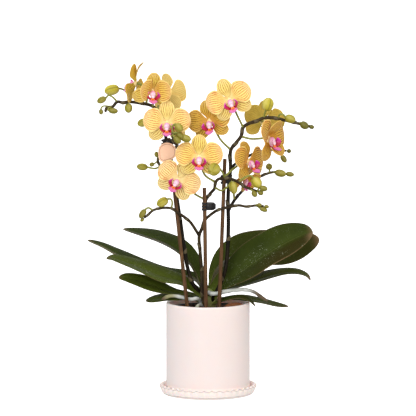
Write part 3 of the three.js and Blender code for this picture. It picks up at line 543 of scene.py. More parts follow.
# %% Saucer
SAUCER_RIM_RADIUS, SAUCER_FOOT_RADIUS, SAUCER_HEIGHT = 60.5, 55.0, 13.0
SCALLOPS, SCALLOP_DEPTH, SCALLOP_DIP = 40, 0.8, 1.5
saucer_profile = rounded([
    (0, 0, 0), (SAUCER_FOOT_RADIUS + 1.4, 0, 3.6), (SAUCER_RIM_RADIUS - 0.2, 7.5, 5),
    (SAUCER_RIM_RADIUS, SAUCER_HEIGHT, 1.1), (SAUCER_RIM_RADIUS - 2.6, SAUCER_HEIGHT, 1.1),
    (POT_RADIUS + 1.5, SAUCER_FLOOR, 2.5), (0, SAUCER_FLOOR, 0),
], 7)
points, faces, places = turned(spaced(saucer_profile, 6), 12 * SCALLOPS)
turn = np.arctan2(points[:, 1], points[:, 0])
radius = np.hypot(points[:, 0], points[:, 1])
wall = soft_step(54, 57.5, radius) * soft_step(3, SAUCER_HEIGHT, points[:, 2])
wave = 1 - 2 * np.abs(np.cos(SCALLOPS / 2 * turn)) ** 1.3
push = 1 - SCALLOP_DEPTH * wall * wave / np.maximum(radius, 1)
points[:, :2] *= push[:, None]
points[:, 2] -= SCALLOP_DIP / 2 * wall ** 2 * (1 - wave)
saucer = Piece("fluted_saucer")
saucer.add((points, faces, places), pale_glaze)
saucer.stand_for("saucer")
print("saucer:", made["fluted_saucer"], "faces")

# %% [markdown]
# ## The nursery pot
#
# Inside the ceramic pot stands the thin black plastic pot that the plant was grown in. Only the
# edge of it can be seen, between the rim and the bark, but from above its turned lip shows. It
# is turned from a profile like the big pot, and its plastic is scuffed by one cloud of noise.

# %% Nursery pot
plastic = Finish("black_plastic", Roughness=0.5)
scuff = plastic.noise(plastic.room(), 160.0, 4.0)
scuffed = plastic.mix(plastic.step(scuff, 0.45, 0.75), (0.016, 0.016, 0.017), (0.05, 0.05, 0.052))
worn_gloss = plastic.step(scuff, 0.3, 0.7, 0.4, 0.62)
black_plastic = plastic.end(scuffed, worn_gloss, plastic.bump(scuff, 0.0001, 0.4))

NURSERY_RIM_RADIUS, NURSERY_FOOT_RADIUS, NURSERY_WALL, NURSERY_RIM, LIP_DROP = 46.5, 37.0, 1.2, 109.0, 5
nursery_foot = SAUCER_FLOOR + POT_FLOOR + 2 * GAP
nursery_lip = NURSERY_RIM_RADIUS - 1.6
nursery_profile = rounded([
    (0, nursery_foot, 0), (NURSERY_FOOT_RADIUS, nursery_foot, 1), (nursery_lip, NURSERY_RIM - LIP_DROP, 0.5),
    (NURSERY_RIM_RADIUS, NURSERY_RIM - LIP_DROP, 0.5), (NURSERY_RIM_RADIUS, NURSERY_RIM, 0.7),
    (nursery_lip - NURSERY_WALL, NURSERY_RIM, 0.6),
    (NURSERY_FOOT_RADIUS - NURSERY_WALL, nursery_foot + NURSERY_WALL, 0.6),
    (0, nursery_foot + NURSERY_WALL, 0),
], 4)
nursery = Piece("grow_pot")
nursery.add(turned(nursery_profile, 96), black_plastic)
nursery.stand_for("nursery_pot")
print("nursery pot:", made["grow_pot"], "faces")

# %% [markdown]
# ## The finish of the bark
#
# Pine bark is fibrous and flakes off in layers, from nearly black to orange brown. Photos of
# bark are often used for it. Here the mark of a chip sets its own tone, so that neighbours
# differ, and a coarse and a fine noise add flakes and fibres as colour and as relief.

# %% Finish of the bark
bark = Finish("pine_bark", Roughness=0.9)
where = bark.room()
_, _, chip_tone = bark.place()
fibre = bark.noise(where, 420.0, 5.0, 0.65)
flake = bark.noise(where, 110.0, 3.0)
tone = bark.plus(bark.times(chip_tone, 0.75), bark.times(flake, 0.3))
colour = bark.ramp(tone, paints([
    (0.1, (38, 24, 17)), (0.45, (78, 48, 32)), (0.75, (128, 76, 46)), (1.0, (176, 112, 66))]))
dark_colour = bark.mix(1.0, colour, (0.45, 0.45, 0.45), "MULTIPLY")
colour = bark.mix(bark.step(fibre, 0.35, 0.7), dark_colour, colour)
pine_bark = bark.end(colour, None, bark.bump(fibre, 0.0009, 0.8, bark.bump(flake, 0.0012, 0.5)))
print("bark finish:", len(bark.tree.nodes), "nodes")

# %% [markdown]
# ## A smooth line through points
#
# Stems, roots and the midribs of leaves are smooth lines through a few known places. A curve
# object would do for a stem, but a leaf also needs to know which way its midrib heads at any
# share of its length. So the line is a small class, whose rule goes through every place and
# makes no loops where places lie close together. Between two places, `leave` and `arrive` say
# how fast the line runs as it leaves the one and reaches the other.

# %% Smooth lines
def run_of(line):
    """How far along the line each of its points lies."""
    return np.concatenate([[0], np.cumsum(np.linalg.norm(np.diff(line, axis=0), axis=1))])


def smooth_between(before, here, there, after, share):
    pairs = ((before, here), (here, there), (there, after))
    first, gap, last = [max(np.linalg.norm(b - a), 1e-4) ** 0.5 for a, b in pairs]
    leave = ((here - before) / first - (there - before) / (first + gap) + (there - here) / gap) * gap
    arrive = ((there - here) / gap - (after - here) / (gap + last) + (after - there) / last) * gap
    return (here + leave * share + (-3 * here + 3 * there - 2 * leave - arrive) * share ** 2
            + (2 * here - 2 * there + leave + arrive) * share ** 3)


class Route:
    def __init__(self, places, fine=20):
        places = np.array(places, float)
        ends = np.vstack([2 * places[0] - places[1], places, 2 * places[-1] - places[-2]])
        share = np.linspace(0, 1, fine, endpoint=False)[:, None]
        stretches = [smooth_between(*ends[start:start + 4], share) for start in range(len(places) - 1)]
        self.line = np.vstack(stretches + [places[-1:]])
        self.run = run_of(self.line)
        self.length = self.run[-1]

    def at(self, share):
        run = np.clip(share, 0, 1) * self.length
        return np.stack([np.interp(run, self.run, self.line[:, axis]) for axis in range(3)], -1)

    def heading(self, share):
        share = np.asarray(share, float)
        return unit(self.at(share + 0.004) - self.at(share - 0.004))


print("a bent line of", round(Route([[0, 0, 0], [10, 0, 5], [20, 5, 5]]).length, 1), "mm")

# %% [markdown]
# ## Tubes
#
# A tube follows a line, as a stem or a root does. Blender's curve bevel would make it too. Here
# a ring stands square to the line at each of its points, and takes its direction from the ring
# before it, so that the tube never twists. Its radius can differ from ring to ring.

# %% Tubes
def tube(line, radii, sides, mark=0.0):
    line = np.asarray(line, float)
    turns = 2 * math.pi * np.arange(sides) / sides
    across = np.array([1.0, 0.3, 0.2])
    rings = []
    for centre, head, radius in zip(line, unit(np.gradient(line, axis=0)), radii):
        across = unit(across - head * across.dot(head))
        upward = np.cross(head, across)
        rings.append(centre + radius * (np.cos(turns)[:, None] * across + np.sin(turns)[:, None] * upward))
    points = np.vstack(rings + [line[:1], line[-1:]])
    run = run_of(line)
    return points, ring_faces(len(line), sides), ring_places(run / run[-1], sides, mark)


print("a tube of", len(tube([[0, 0, 0], [0, 0, 5]], [1, 1], 12)[0]), "points")

# %% [markdown]
# ## Pebbles
#
# Bark chips and the soft corners of the plastic clips are blocks that have been worn round. A
# cube with a bevel modifier gives such a block. This one is a cube of small squares whose points
# are pulled onto a rounded core, and a few seeded waves make a chip lumpy.

# %% Pebbles
CHIP_WAVES = 6


def cube_skin(cuts):
    """The points and faces of a cube from -1 to 1, with each side cut into small squares."""
    steps = np.linspace(-1, 1, cuts + 1)
    points, faces, index = [], [], {}

    def corner_id(spot):
        key = tuple(np.round(spot, 6))
        if key not in index:
            index[key] = len(points)
            points.append(spot)
        return index[key]

    for axis in range(3):
        for end in (-1, 1):
            for i in range(cuts):
                for j in range(cuts):
                    loop = []
                    for di, dj in ((0, 0), (1, 0), (1, 1), (0, 1)):
                        spot = np.zeros(3)
                        spot[axis] = end
                        spot[(axis + 1) % 3] = steps[i + di]
                        spot[(axis + 2) % 3] = steps[j + dj]
                        loop.append(corner_id(spot))
                    faces.append(tuple(loop if end > 0 else loop[::-1]))
    return np.array(points), faces


def pebble(centre, size, corner, cuts, turn=None, rough=0.0, seed=0, mark=0.0):
    half = np.array(size, float) / 2
    radius = corner * half.min()
    points, faces = cube_skin(cuts)
    points = points * half
    core = np.clip(points, -(half - radius), half - radius)
    points = core + radius * unit(points - core)
    if rough:
        draw = np.random.default_rng(seed)
        waves = draw.normal(size=(CHIP_WAVES, 3)) * 2.2 / half.max()
        shift = draw.uniform(0, 6, size=(CHIP_WAVES, 3))
        for wave, start in zip(waves, shift):
            points = points + rough * np.sin(points @ wave[:, None] * 2 + start[None, :]) * 0.5
    along = points / (2 * half) + 0.5
    if turn is not None:
        points = points @ np.array(turn).T
    places = np.column_stack([along[:, 0], along[:, 1], np.full(len(points), mark)])
    return points + np.array(centre, float), faces, places


print("a pebble of", len(cube_skin(4)[0]), "points")

# %% [markdown]
# ## Turning a shape
#
# Chips and blooms lie at odd angles. An object could be rotated, but a piece is one mesh of many
# shapes. So `turning` gives a matrix for points, which turns them about x, then y, then z.

# %% Turning a shape
def turning(x=0.0, y=0.0, z=0.0):
    cx, sx, cy, sy, cz, sz = math.cos(x), math.sin(x), math.cos(y), math.sin(y), math.cos(z), math.sin(z)
    about_x = np.array([[1, 0, 0], [0, cx, -sx], [0, sx, cx]])
    about_y = np.array([[cy, 0, sy], [0, 1, 0], [-sy, 0, cy]])
    about_z = np.array([[cz, -sz, 0], [sz, cz, 0], [0, 0, 1]])
    return about_z @ about_y @ about_x


print("a quarter turn about z takes x to", (turning(z=90 * DEG) @ [1, 0, 0]).round(3))

# %% [markdown]
# ## The bark
#
# The bark fills the nursery pot: a plug with an uneven top, and on it some ninety chips. They
# could fall into place in a physics run, but then each run might differ. Here every chip is a
# pebble, squashed, roughened and turned by a seeded draw. The chips are laid out by the golden
# angle, as the seeds of a sunflower are, so that they cover the round top evenly. One long chip
# that stands up at the right is a bent tube.

# %% Bark
BARK_TOP, CHIPS, GOLDEN_ANGLE = 105.0, 92, 137.5 * DEG
bark_foot = nursery_foot + NURSERY_WALL + GAP
slope = (nursery_lip - NURSERY_FOOT_RADIUS) / (NURSERY_RIM - LIP_DROP - bark_foot)
bark_reach = NURSERY_FOOT_RADIUS - NURSERY_WALL - 2.5 * GAP + slope * (BARK_TOP - bark_foot)
draw = np.random.default_rng(11)
bark_profile = [(0, bark_foot), (NURSERY_FOOT_RADIUS - 2, bark_foot), (bark_reach, BARK_TOP - 3)]
bark_profile += [(bark_reach - 1.5, BARK_TOP - 1.5)]
bark_profile += [(bark_reach * share, BARK_TOP - 1.5) for share in (0.9, 0.78, 0.66, 0.54, 0.42, 0.3, 0.18)]
points, faces, places = turned(bark_profile + [(0, BARK_TOP - 1.5)], 64, mark=0.15)
top = points[:, 2] > BARK_TOP - 2
points[top, 2] += draw.uniform(-1.3, 1.3, top.sum())
heap = Piece("bark_heap")
heap.add((points, faces, places), pine_bark)
for number in range(CHIPS):
    turn = number * GOLDEN_ANGLE
    reach = between(13, bark_reach - 4.5, math.sqrt((number + 0.5) / CHIPS))
    size = (draw.uniform(8, 16), draw.uniform(5, 9), draw.uniform(2.2, 4.4))
    tilt = turning(draw.uniform(-0.45, 0.45), draw.uniform(-0.4, 0.4), draw.uniform(0, 6.3))
    spot = (reach * math.cos(turn), reach * math.sin(turn), BARK_TOP + draw.uniform(-0.6, 1.6))
    chip_tone = draw.uniform(0.05, 0.95) ** 1.6
    heap.add(pebble(spot, size, 0.5, 4, tilt, 0.7, number, chip_tone), pine_bark)
long_chip = Route([[20, -8, 108.5], [25, -10, 111.5], [33, -11, 113.2], [40, -10, 112.8], [44, -7, 110]])
shares = np.linspace(0, 1, 22)
radii = 3.6 * np.sqrt(np.clip(1 - (2 * shares - 1) ** 4, 0.02, 1))
heap.add(tube(long_chip.at(shares), radii, 12, 1.0), pine_bark)
heap.stand_for("bark")
print("bark:", made["bark_heap"], "faces")

# %% [markdown]
# ## The finish of a leaf
#
# A moth orchid's leaf is thick and leathery, dark green above and tan green below, with a pale
# line along its sunken midrib and fine veins that run its whole length. A photo of a leaf would
# bring its own light along. Here the veins are lines across the blade's width, drawn from its
# places, so they narrow towards the tip as real ones do. Beside the pale line a dark band is painted
# shade of the midrib's groove, and beyond it a faint lighter band is a painted highlight. The
# attribute `care` says how pale, how brown and how dusty the leaf is at each point. Its worn edges
# are tan, and dust lies in flecks.

# %% Finish of a leaf
LEAF_VEINS = 17.0
leaf_paint = Finish("thick_leaf", Specular_IOR_Level=0.05)
where = leaf_paint.room()
along, across, under = leaf_paint.place()
pale, brown, dust = leaf_paint.place("care")
aside = leaf_paint.math("ABSOLUTE", across)
wander = leaf_paint.noise(leaf_paint.spot(leaf_paint.times(along, 4.0), across), 3.0, 2.0)
lane = leaf_paint.plus(leaf_paint.times(across, LEAF_VEINS), leaf_paint.times(wander, 1.2))
vein = leaf_paint.step(leaf_paint.math("PINGPONG", lane, 0.5), 0.0, 0.22, 1.0, 0.0)
clouds = leaf_paint.noise(where, 26.0, 4.0)
skin = leaf_paint.noise(where, 520.0, 3.0)

green = leaf_paint.mix(clouds, paint(25, 35, 4), paint(59, 70, 19))
green = leaf_paint.mix(leaf_paint.times(vein, 0.26), green, paint(66, 80, 26))
# Painted shade: a dark band along the sunken midrib, the shade of its groove.
green = leaf_paint.mix(leaf_paint.step(aside, 0.03, 0.07, 0.5, 0.0), green, paint(16, 25, 6))
green = leaf_paint.mix(leaf_paint.step(aside, 0.0, 0.03, 0.5, 0.0), green, paint(112, 118, 66))
# Painted highlight: a faint lighter band beside the midrib, fading out towards the rims.
green = leaf_paint.mix(leaf_paint.step(aside, 0.06, 0.5, 0.14, 0.0), green, paint(84, 100, 36))
green = leaf_paint.mix(pale, green, paint(122, 138, 48))
blush = leaf_paint.times(brown, leaf_paint.step(clouds, 0.25, 0.65, 0.55, 1.0), True)
rim = leaf_paint.math("MAXIMUM", leaf_paint.step(along, 0.9, 1.0), leaf_paint.step(aside, 0.93, 1.0))
green = leaf_paint.mix(blush, green, leaf_paint.mix(rim, paint(48, 37, 14), paint(118, 96, 68)))
back = leaf_paint.mix(clouds, paint(96, 94, 58), paint(122, 114, 80))
back = leaf_paint.mix(leaf_paint.times(vein, 0.25), back, paint(84, 86, 52))
green = leaf_paint.mix(leaf_paint.step(under, 0.45, 0.6), green, back)

flecks = leaf_paint.step(leaf_paint.noise(where, 900.0, 0.0), 0.7, 0.78)
patch = leaf_paint.step(leaf_paint.noise(where, 40.0, 2.0), 0.45, 0.65)
flecks = leaf_paint.times(leaf_paint.times(flecks, patch), dust, True)
green = leaf_paint.mix(leaf_paint.times(flecks, 0.75), green, paint(176, 184, 156))
gloss = leaf_paint.step(clouds, 0.3, 0.7, 0.34, 0.5)
relief = leaf_paint.bump(vein, 0.00022, 0.5, leaf_paint.bump(skin, 0.00008, 0.6))
thick_leaf = leaf_paint.end(green, gloss, relief)
print("leaf finish:", len(leaf_paint.tree.nodes), "nodes")

# %% [markdown]
# ## Where the leaves lie
#
# Ten leaves leave the crown to the left and right, one above the other. Each has a midrib of
# places, a side and a width. `lean` is how far the blade leans to one side and `fold` how far its
# halves fold up, in degrees, each at the base and at the tip. `neck` is the width at the base
# as a share of the greatest width, `belly` is where along the leaf it is widest, and a lower
# `taper` gives a longer point. `pale`, `brown` and `dust` are how strong each is on this leaf,
# and `tip` is how brown its point is. One leaf holds the usual values, and the others say only
# what differs.

# %% Where the leaves lie
LEAF = {"neck": 0.42, "belly": 0.5, "taper": 2.0, "pale": 0.0, "brown": 0.0, "dust": 0.25, "tip": 0.6}
LEAVES = {
    "leaf_left_front": dict(LEAF, side=-1, width=44, lean=(23, 10), fold=(12, 6), taper=2.4, pale=0.26,
        dust=0.9, midrib=[
        [-5, 122, 3], [-22, 133, 3], [-33, 140, 1], [-59, 147, -5], [-84, 157, -11],
        [-109, 166.5, -14.5], [-120, 170, -15], [-127, 169.5, -15]]),
    "leaf_left_top": dict(LEAF, side=-1, width=50, lean=(28, 3), fold=(34, 13), neck=0.34,
        taper=1.8, midrib=[
        [-5, 129, 9], [-11, 139, 12], [-16, 151, 15], [-24, 164, 18], [-39, 178, 20], [-60, 189.5, 22],
        [-85, 198.5, 24], [-107, 206, 25]]),
    "leaf_left_long": dict(LEAF, side=-1, width=42, lean=(8, 5), fold=(30, 13), dust=0.6, midrib=[
        [-5, 126.5, 8], [-13, 139, 17], [-22, 144.5, 24], [-54, 147.5, 31], [-85, 158, 34],
        [-112, 171.5, 36], [-133, 183.5, 37], [-152, 192, 37]]),
    "leaf_left_low": dict(LEAF, side=-1, width=36, lean=(10, 36), fold=(16, 4), neck=0.22, belly=0.75,
        taper=1.3, pale=0.34, midrib=[
        [-5, 118, 7], [-22, 124, 9], [-41, 126, 10], [-56, 130, 10], [-74, 136.5, 9], [-90, 142, 8],
        [-104, 145.5, 7], [-112, 145.7, 7]]),
    "leaf_left_rim": dict(LEAF, side=-1, width=32, lean=(10, 15), fold=(12, 4), pale=0.22, midrib=[
        [-5, 113, 5], [-22, 119, 5], [-45, 120.5, 3], [-62, 118.5, 1], [-78, 116, -1]]),
    "leaf_right_front": dict(LEAF, side=1, width=60, lean=(40, 45), fold=(25, 13), taper=2.4,
        brown=0.75, dust=1.0, midrib=[
        [6, 121, -1], [20, 137, 0], [42, 153, -3], [74, 175, -6], [102, 191, -7], [121, 200, -8],
        [131, 203, -8]]),
    "leaf_right_back": dict(LEAF, side=1, width=54, lean=(5, 95), fold=(55, 0), neck=0.36, taper=1.5,
        pale=0.1, brown=0.45, midrib=[
        [8, 130, 12], [10.5, 139, 19], [14, 152, 27], [25, 167, 34], [42, 176, 39], [62, 178, 42],
        [82, 180, 43], [106, 184, 43], [128, 190.5, 42], [140, 194, 41]]),
    "leaf_right_low": dict(LEAF, side=1, width=38, lean=(12, 8), fold=(16, 8), pale=0.25, brown=0.35,
        tip=1.0, midrib=[
        [5, 117, 8], [22, 129, 10], [50, 137, 13], [78, 146.5, 14], [99, 151, 14], [115, 150.5, 12],
        [124, 147, 11], [128.5, 141.5, 10]]),
    "leaf_right_rim": dict(LEAF, side=1, width=24, lean=(10, 12), fold=(8, 4), pale=0.35,
        brown=0.4, midrib=[
        [5, 112, 6], [18, 118, 7], [40, 119.5, 7], [65, 116, 6], [85, 111.5, 5], [101, 109, 4]]),
    "leaf_right_small": dict(LEAF, side=1, width=11, lean=(20, 20), fold=(15, 15), brown=0.5,
        tip=1.0, midrib=[
        [5, 112, -4], [22, 118, -12], [38, 121, -15], [49, 118.5, -17], [55, 114, -18],
        [59, 110, -18]]),
}
print("leaves:", len(LEAVES))

# %% [markdown]
# ## Blades
#
# Leaves, petals, sepals, bracts and lips are all thin living sheets. A plane with a solidify
# modifier gives a sheet with square edges. Here a rule called `sheet` says where each share
# along and across lies. The blade gets half its thickness on either side of it, and both faces
# meet in one edge, so that it thins out there as a leaf does. The mark is 0 on the upper face,
# 0.5 at the edge and 1 on the under face.

# %% Blades
def blade(sheet, along, across, thickness, flip=False):
    u, v = np.meshgrid(along, across, indexing="ij")
    small = 1e-3
    middle = sheet(u, v)
    ahead, beside = sheet(u + small, v) - sheet(u - small, v), sheet(u, v + small) - sheet(u, v - small)
    normal = unit(np.cross(ahead, beside))
    if flip:
        normal = -normal
    rows, columns = u.shape
    edge = np.ones((rows, columns), bool)
    edge[1:-1, 1:-1] = False
    half = thickness(u, v)[..., None] / 2
    upper = middle + normal * np.where(edge[..., None], 0, half)
    under = (middle - normal * half)[1:-1, 1:-1].reshape(-1, 3)
    points = np.vstack([upper.reshape(-1, 3), under])
    inner = [grid[1:-1, 1:-1].reshape(-1) for grid in (u, v)]
    places = np.vstack([
        np.stack([u.reshape(-1), v.reshape(-1), np.where(edge, 0.5, 0.0).reshape(-1)], 1),
        np.stack([*inner, np.ones(len(under))], 1),
    ])
    front = np.arange(rows * columns).reshape(rows, columns)
    back = front.copy()
    back[1:-1, 1:-1] = rows * columns + np.arange(len(under)).reshape(rows - 2, columns - 2)
    faces = []
    for grid, turned_over in ((front, flip), (back, not flip)):
        a, b, c, d = grid[:-1, :-1], grid[:-1, 1:], grid[1:, :-1], grid[1:, 1:]
        order = (a, b, d, c) if turned_over else (a, c, d, b)
        faces += list(map(tuple, np.stack(order, -1).reshape(-1, 4).tolist()))
    return points, faces, places


flat_sheet = blade(lambda along, across: np.stack([along, across, 0 * along], -1), np.linspace(0, 1, 3),
                   np.linspace(-1, 1, 3), lambda along, across: np.full_like(along, 0.1))
print("a small blade of", len(flat_sheet[1]), "faces")

# %% [markdown]
# ## The shape of a leaf
#
# Real leaves arch over, lean and fold, and their edges ripple a little. A subdivided plane bent
# by hand would do for one leaf. A rule for the sheet serves all ten, keeps each on its solid,
# and gives the places along and across that the finish needs.

# %% The shape of a leaf
LEAF_THICKNESS, LEAF_EDGE, LEAF_ARCH, LEAF_RIPPLE, MIDRIB_DEPTH = 1.7, 0.8, 0.05, 0.55, 0.315


def leaf_outline(leaf, share):
    swell = leaf["neck"] + (1 - leaf["neck"]) * soft_step(0, leaf["belly"], share)
    close = np.maximum(0, (share - 0.5) / 0.5) ** leaf["taper"]
    return swell * np.sqrt(np.maximum(0.0008, 1 - close))


def leaf_sheet(leaf, ripple):
    route = Route([seen(place) for place in leaf["midrib"]])
    lean, fold = np.array(leaf["lean"]) * DEG, np.array(leaf["fold"]) * DEG

    def sheet(along, across):
        share = np.clip(along, 0, 1)
        heading = route.heading(share)
        away = unit(np.array([0.0, 1.0, 0.0]) - heading * heading[..., 1:2])
        upper = unit(np.cross(heading, away) * leaf["side"])
        half_up = np.where(across > 0, 1, -1) * between(lean[0], lean[1], share)
        tip_over = between(fold[0], fold[1], share) + half_up
        half = leaf_outline(leaf, share) * leaf["width"] / 2
        reach = np.abs(across) * half
        arch = LEAF_ARCH * half * np.sin(math.pi * np.abs(across))
        wavy = LEAF_RIPPLE * np.abs(across) ** 3 * np.sin(ripple + 13 * share + 2 * across) * half / 25
        crease = MIDRIB_DEPTH * np.exp(-(across / 0.07) ** 2) * (1 - share) ** 0.5
        out = np.sign(across) * (reach * np.cos(tip_over) - arch * np.sin(tip_over))
        rise = reach * np.sin(tip_over) + arch * np.cos(tip_over) + wavy - crease
        past_end = heading * (along - share)[..., None]
        return route.at(share) + away * out[..., None] + upper * rise[..., None] + past_end

    return sheet


def leaf_thickness(along, across):
    round_edge = np.sqrt(np.maximum(0, 1 - np.abs(across) ** 14)) * np.sqrt(np.clip((1 - along) / 0.03, 0, 1))
    midrib = 0.5 * (1 - along) * np.exp(-(across / 0.1) ** 2)
    return (between(LEAF_THICKNESS, LEAF_EDGE, np.abs(across)) + midrib) * round_edge


print("outline half way:", leaf_outline(LEAF, np.array(0.5)).round(2), "of the greatest width")

# %% [markdown]
# ## The leaves
#
# Now each leaf is made from its own line in the table. Its points stand closer together at the
# edges and the tip, where it bends most. The rest of the cell fills in `care`: the base is pale,
# brown creeps up from the tip and along the rims, and on the browner leaf only the lower half is
# brown. That could be painted by hand; as numbers it can be tuned leaf by leaf.

# %% The leaves
HALF_BROWN = 0.6
leaf_along = np.sin(np.linspace(0, 1, 64) * math.pi / 2) ** 1.15
leaf_across = np.sin(np.linspace(-1, 1, 27) * math.pi / 2)
for number, (node, leaf) in enumerate(LEAVES.items()):
    sheet = leaf_sheet(leaf, 1.7 * number)
    shape = blade(sheet, leaf_along, leaf_across, leaf_thickness, flip=leaf["side"] < 0)
    share, across = shape[2][:, 0], shape[2][:, 1]
    pale = leaf["pale"] * (1 - 0.5 * share) + 0.35 * (1 - soft_step(0, 0.22, share))
    lower_half = soft_step(0.1, -0.5, across) if leaf["brown"] > HALF_BROWN else np.ones_like(across)
    brown = leaf["brown"] * lower_half * soft_step(0.15, 0.7, share)
    brown = brown + leaf["tip"] * soft_step(0.93, 1.0, share) + 0.55 * soft_step(0.93, 1.0, np.abs(across))
    piece = Piece(node.replace("leaf", "blade"))
    dust = np.full(len(share), leaf["dust"])
    piece.add(shape, thick_leaf, np.stack([pale, np.clip(brown, 0, 1), dust], 1))
    piece.stand_for(node)
print("leaves:", len(LEAVES), "of", made["blade_left_top"], "faces each")

# %% [markdown]
# ## The crown
#
# The short stem between the leaves is wrapped in their sheaths. Hardly any of it shows, so a
# turned shape is enough. A wave round it gives it nine lengthwise ridges, as the folded sheaths
# do, and its foot is browner than its top.

# %% Crown
crown_paint = Finish("leaf_sheath", Roughness=0.55)
along, _, _ = crown_paint.place()
clouds = crown_paint.noise(crown_paint.room(), 130.0, 4.0)
colour = crown_paint.mix(clouds, paint(96, 112, 52), paint(150, 160, 84))
colour = crown_paint.mix(crown_paint.step(along, 0.15, 0.55, 0.75, 0.0), colour, paint(104, 84, 58))
leaf_sheath = crown_paint.end(colour, None, crown_paint.bump(clouds, 0.0004, 0.6))

CROWN_RIDGES, CROWN_SPOT = 9, np.array([0, 4, 0])
crown_profile = rounded([(0, 92, 0), (7, 92, 2), (12, 118, 8), (10.5, 127, 3), (5, 132, 2), (0, 133, 0)], 7)
points, faces, places = turned(crown_profile, 72)
turn = np.arctan2(points[:, 1], points[:, 0])
ridge = 1 + 0.035 * np.cos(CROWN_RIDGES * turn + points[:, 2] * 0.05)
points[:, :2] *= ridge[:, None]
crown = Piece("short_stem")
crown.add((points + CROWN_SPOT, faces, places), leaf_sheath)
crown.stand_for("crown")
print("crown:", made["short_stem"], "faces")

# %% [markdown]
# ## The finish of the roots
#
# Aerial roots wear a silvery spongy skin that takes up water. Towards its growing tip a root is
# fresh and green, and where it has dried it is tan. An image along the root could show that. Here
# the attribute `care` says how fresh and how tan the root is at each point, and two noises, one
# on top of the other, make the skin uneven.

# %% Finish of the roots
root_paint = Finish("silver_root", Roughness=0.75)
where = root_paint.room()
fresh, tan, _ = root_paint.place("care")
clouds = root_paint.noise(where, 170.0, 4.0)
sponge = root_paint.noise(where, 900.0, 3.0)
colour = root_paint.mix(clouds, paint(150, 156, 148), paint(222, 226, 222))
colour = root_paint.mix(fresh, colour, paint(132, 128, 62))
colour = root_paint.mix(tan, colour, root_paint.mix(clouds, paint(66, 54, 38), paint(104, 86, 62)))
relief = root_paint.bump(sponge, 0.0002, 0.5, root_paint.bump(clouds, 0.0008, 0.5))
silver_root = root_paint.end(colour, None, relief)
print("root finish:", len(root_paint.tree.nodes), "nodes")

# %% [markdown]
# ## Aerial roots
#
# An aerial root is a cord with a slight waist here and there and a rounded tip. It could be a
# curve with a bevel. A tube along a route gives the same form, and says how far along each
# point is, so that `fresh` and `tan` can each start and end at a share of the root's length.

# %% Aerial roots
ROOTS = {
    "aerial_root_left": dict(radius=(2.4, 2.2), fresh=(0.62, 0.8), tan=(0.86, 0.97), path=[
        [-9, 114, 0], [-11, 118, -7], [-14.5, 119.5, -13], [-22, 118.5, -16], [-32, 121, -16],
        [-42, 123, -16], [-49, 122.5, -16], [-58, 118.5, -17]]),
    "aerial_root_right": dict(radius=(2.7, 1.9), fresh=(0.9, 1.4), tan=(0.6, 0.82), path=[
        [1, 127, -5], [5, 125.5, -12], [12, 126, -14.5], [20, 128, -14], [38, 130.5, -12],
        [47, 130.5, -11], [57, 128, -11], [66, 122, -11], [75, 116, -11]]),
    "aerial_root_front": dict(radius=(2.2, 2.0), fresh=(0.1, 0.9), tan=(1.2, 1.4), path=[
        [-6, 110, -3], [-10, 111.5, -9], [-13, 110, -15], [-15, 105, -19], [-16, 98, -20]]),
}
for number, (node, root) in enumerate(ROOTS.items()):
    route = Route([seen(place) for place in root["path"]])
    shares = 1 - (1 - np.linspace(0, 1, 90)) ** 1.15
    radii = between(root["radius"][0], root["radius"][1], shares ** 2)
    radii = radii * (1 + 0.05 * np.sin(23 * shares + number) + 0.04 * np.sin(51 * shares + 2 * number))
    radii = radii * np.sqrt(np.clip((1 - shares) / 0.05, 0.02, 1))
    shape = tube(route.at(shares), radii, 20)
    share = shape[2][:, 0]
    fresh = 0.8 * soft_step(*root["fresh"], share)
    tan = soft_step(*root["tan"], share)
    piece = Piece(node.replace("aerial_root", "root"))
    piece.add(shape, silver_root, np.stack([fresh, tan, np.zeros_like(share)], 1))
    piece.stand_for(node)
print("roots:", len(ROOTS))

# %% [markdown]
# ## Stakes
#
# The stakes are thin brown sticks, split from a larger piece, so they have grain along them and
# are never quite even. A cylinder would look machined. Here a tube swells and thins by a
# fiftieth, its ends are slightly rounded, and a noise that is stretched along the stick draws
# the grain. The lower end is buried in the bark.

# %% Stakes
stick = Finish("brown_stick", Roughness=0.6, Specular_IOR_Level=0.1)
streak = stick.noise(stick.stretched(1.0, 1.0, 0.05), 700.0, 4.0, 0.6)
blotch = stick.noise(stick.room(), 60.0, 2.0)
colour = stick.ramp(streak, paints([(0.25, (46, 30, 17)), (0.5, (90, 64, 42)), (0.75, (132, 100, 68))]))
colour = stick.mix(stick.step(blotch, 0.4, 0.7, 0.0, 0.35), colour, paint(70, 46, 32))
brown_stick = stick.end(colour, None, stick.bump(streak, 0.0002, 0.6))

STAKE_RADIUS, STAKE_FOOT = 2.4, 40.0
STAKES = {
    "stake_left": ([-26, 110, -22], [-49, 320, -14]),
    "stake_middle": ([-2.5, 110, -19], [-4.5, 258, -19]),
    "stake_right": ([14, 110, -20], [21, 294, -18]),
}
for node, (foot, top) in STAKES.items():
    foot, top = seen(foot), seen(top)
    lean = (top - foot) / (top[2] - foot[2])
    buried = foot + lean * (STAKE_FOOT - foot[2])
    shares = np.concatenate([[0, 0.002], np.linspace(0.004, 0.996, 40), [0.9985, 1]])
    radii = STAKE_RADIUS * (1 + 0.02 * np.sin(37 * shares))
    radii[[0, -1]] *= 0.72
    radii[[1, -2]] *= 0.93
    piece = Piece(node.replace("stake", "stick"))
    piece.add(tube(buried + (top - buried) * shares[:, None], radii, 20), brown_stick)
    piece.stand_for(node)
print("stakes:", len(STAKES))

# %% [markdown]
# ## Clips
#
# Each clip is black plastic: a round jaw that holds stake and spike, a grip on one side, and
# small ribs on the other for the fingers. They could be joined into one body with booleans. At
# this size three kinds of simple shape pushed into one another look the same, and their edges
# stay soft.

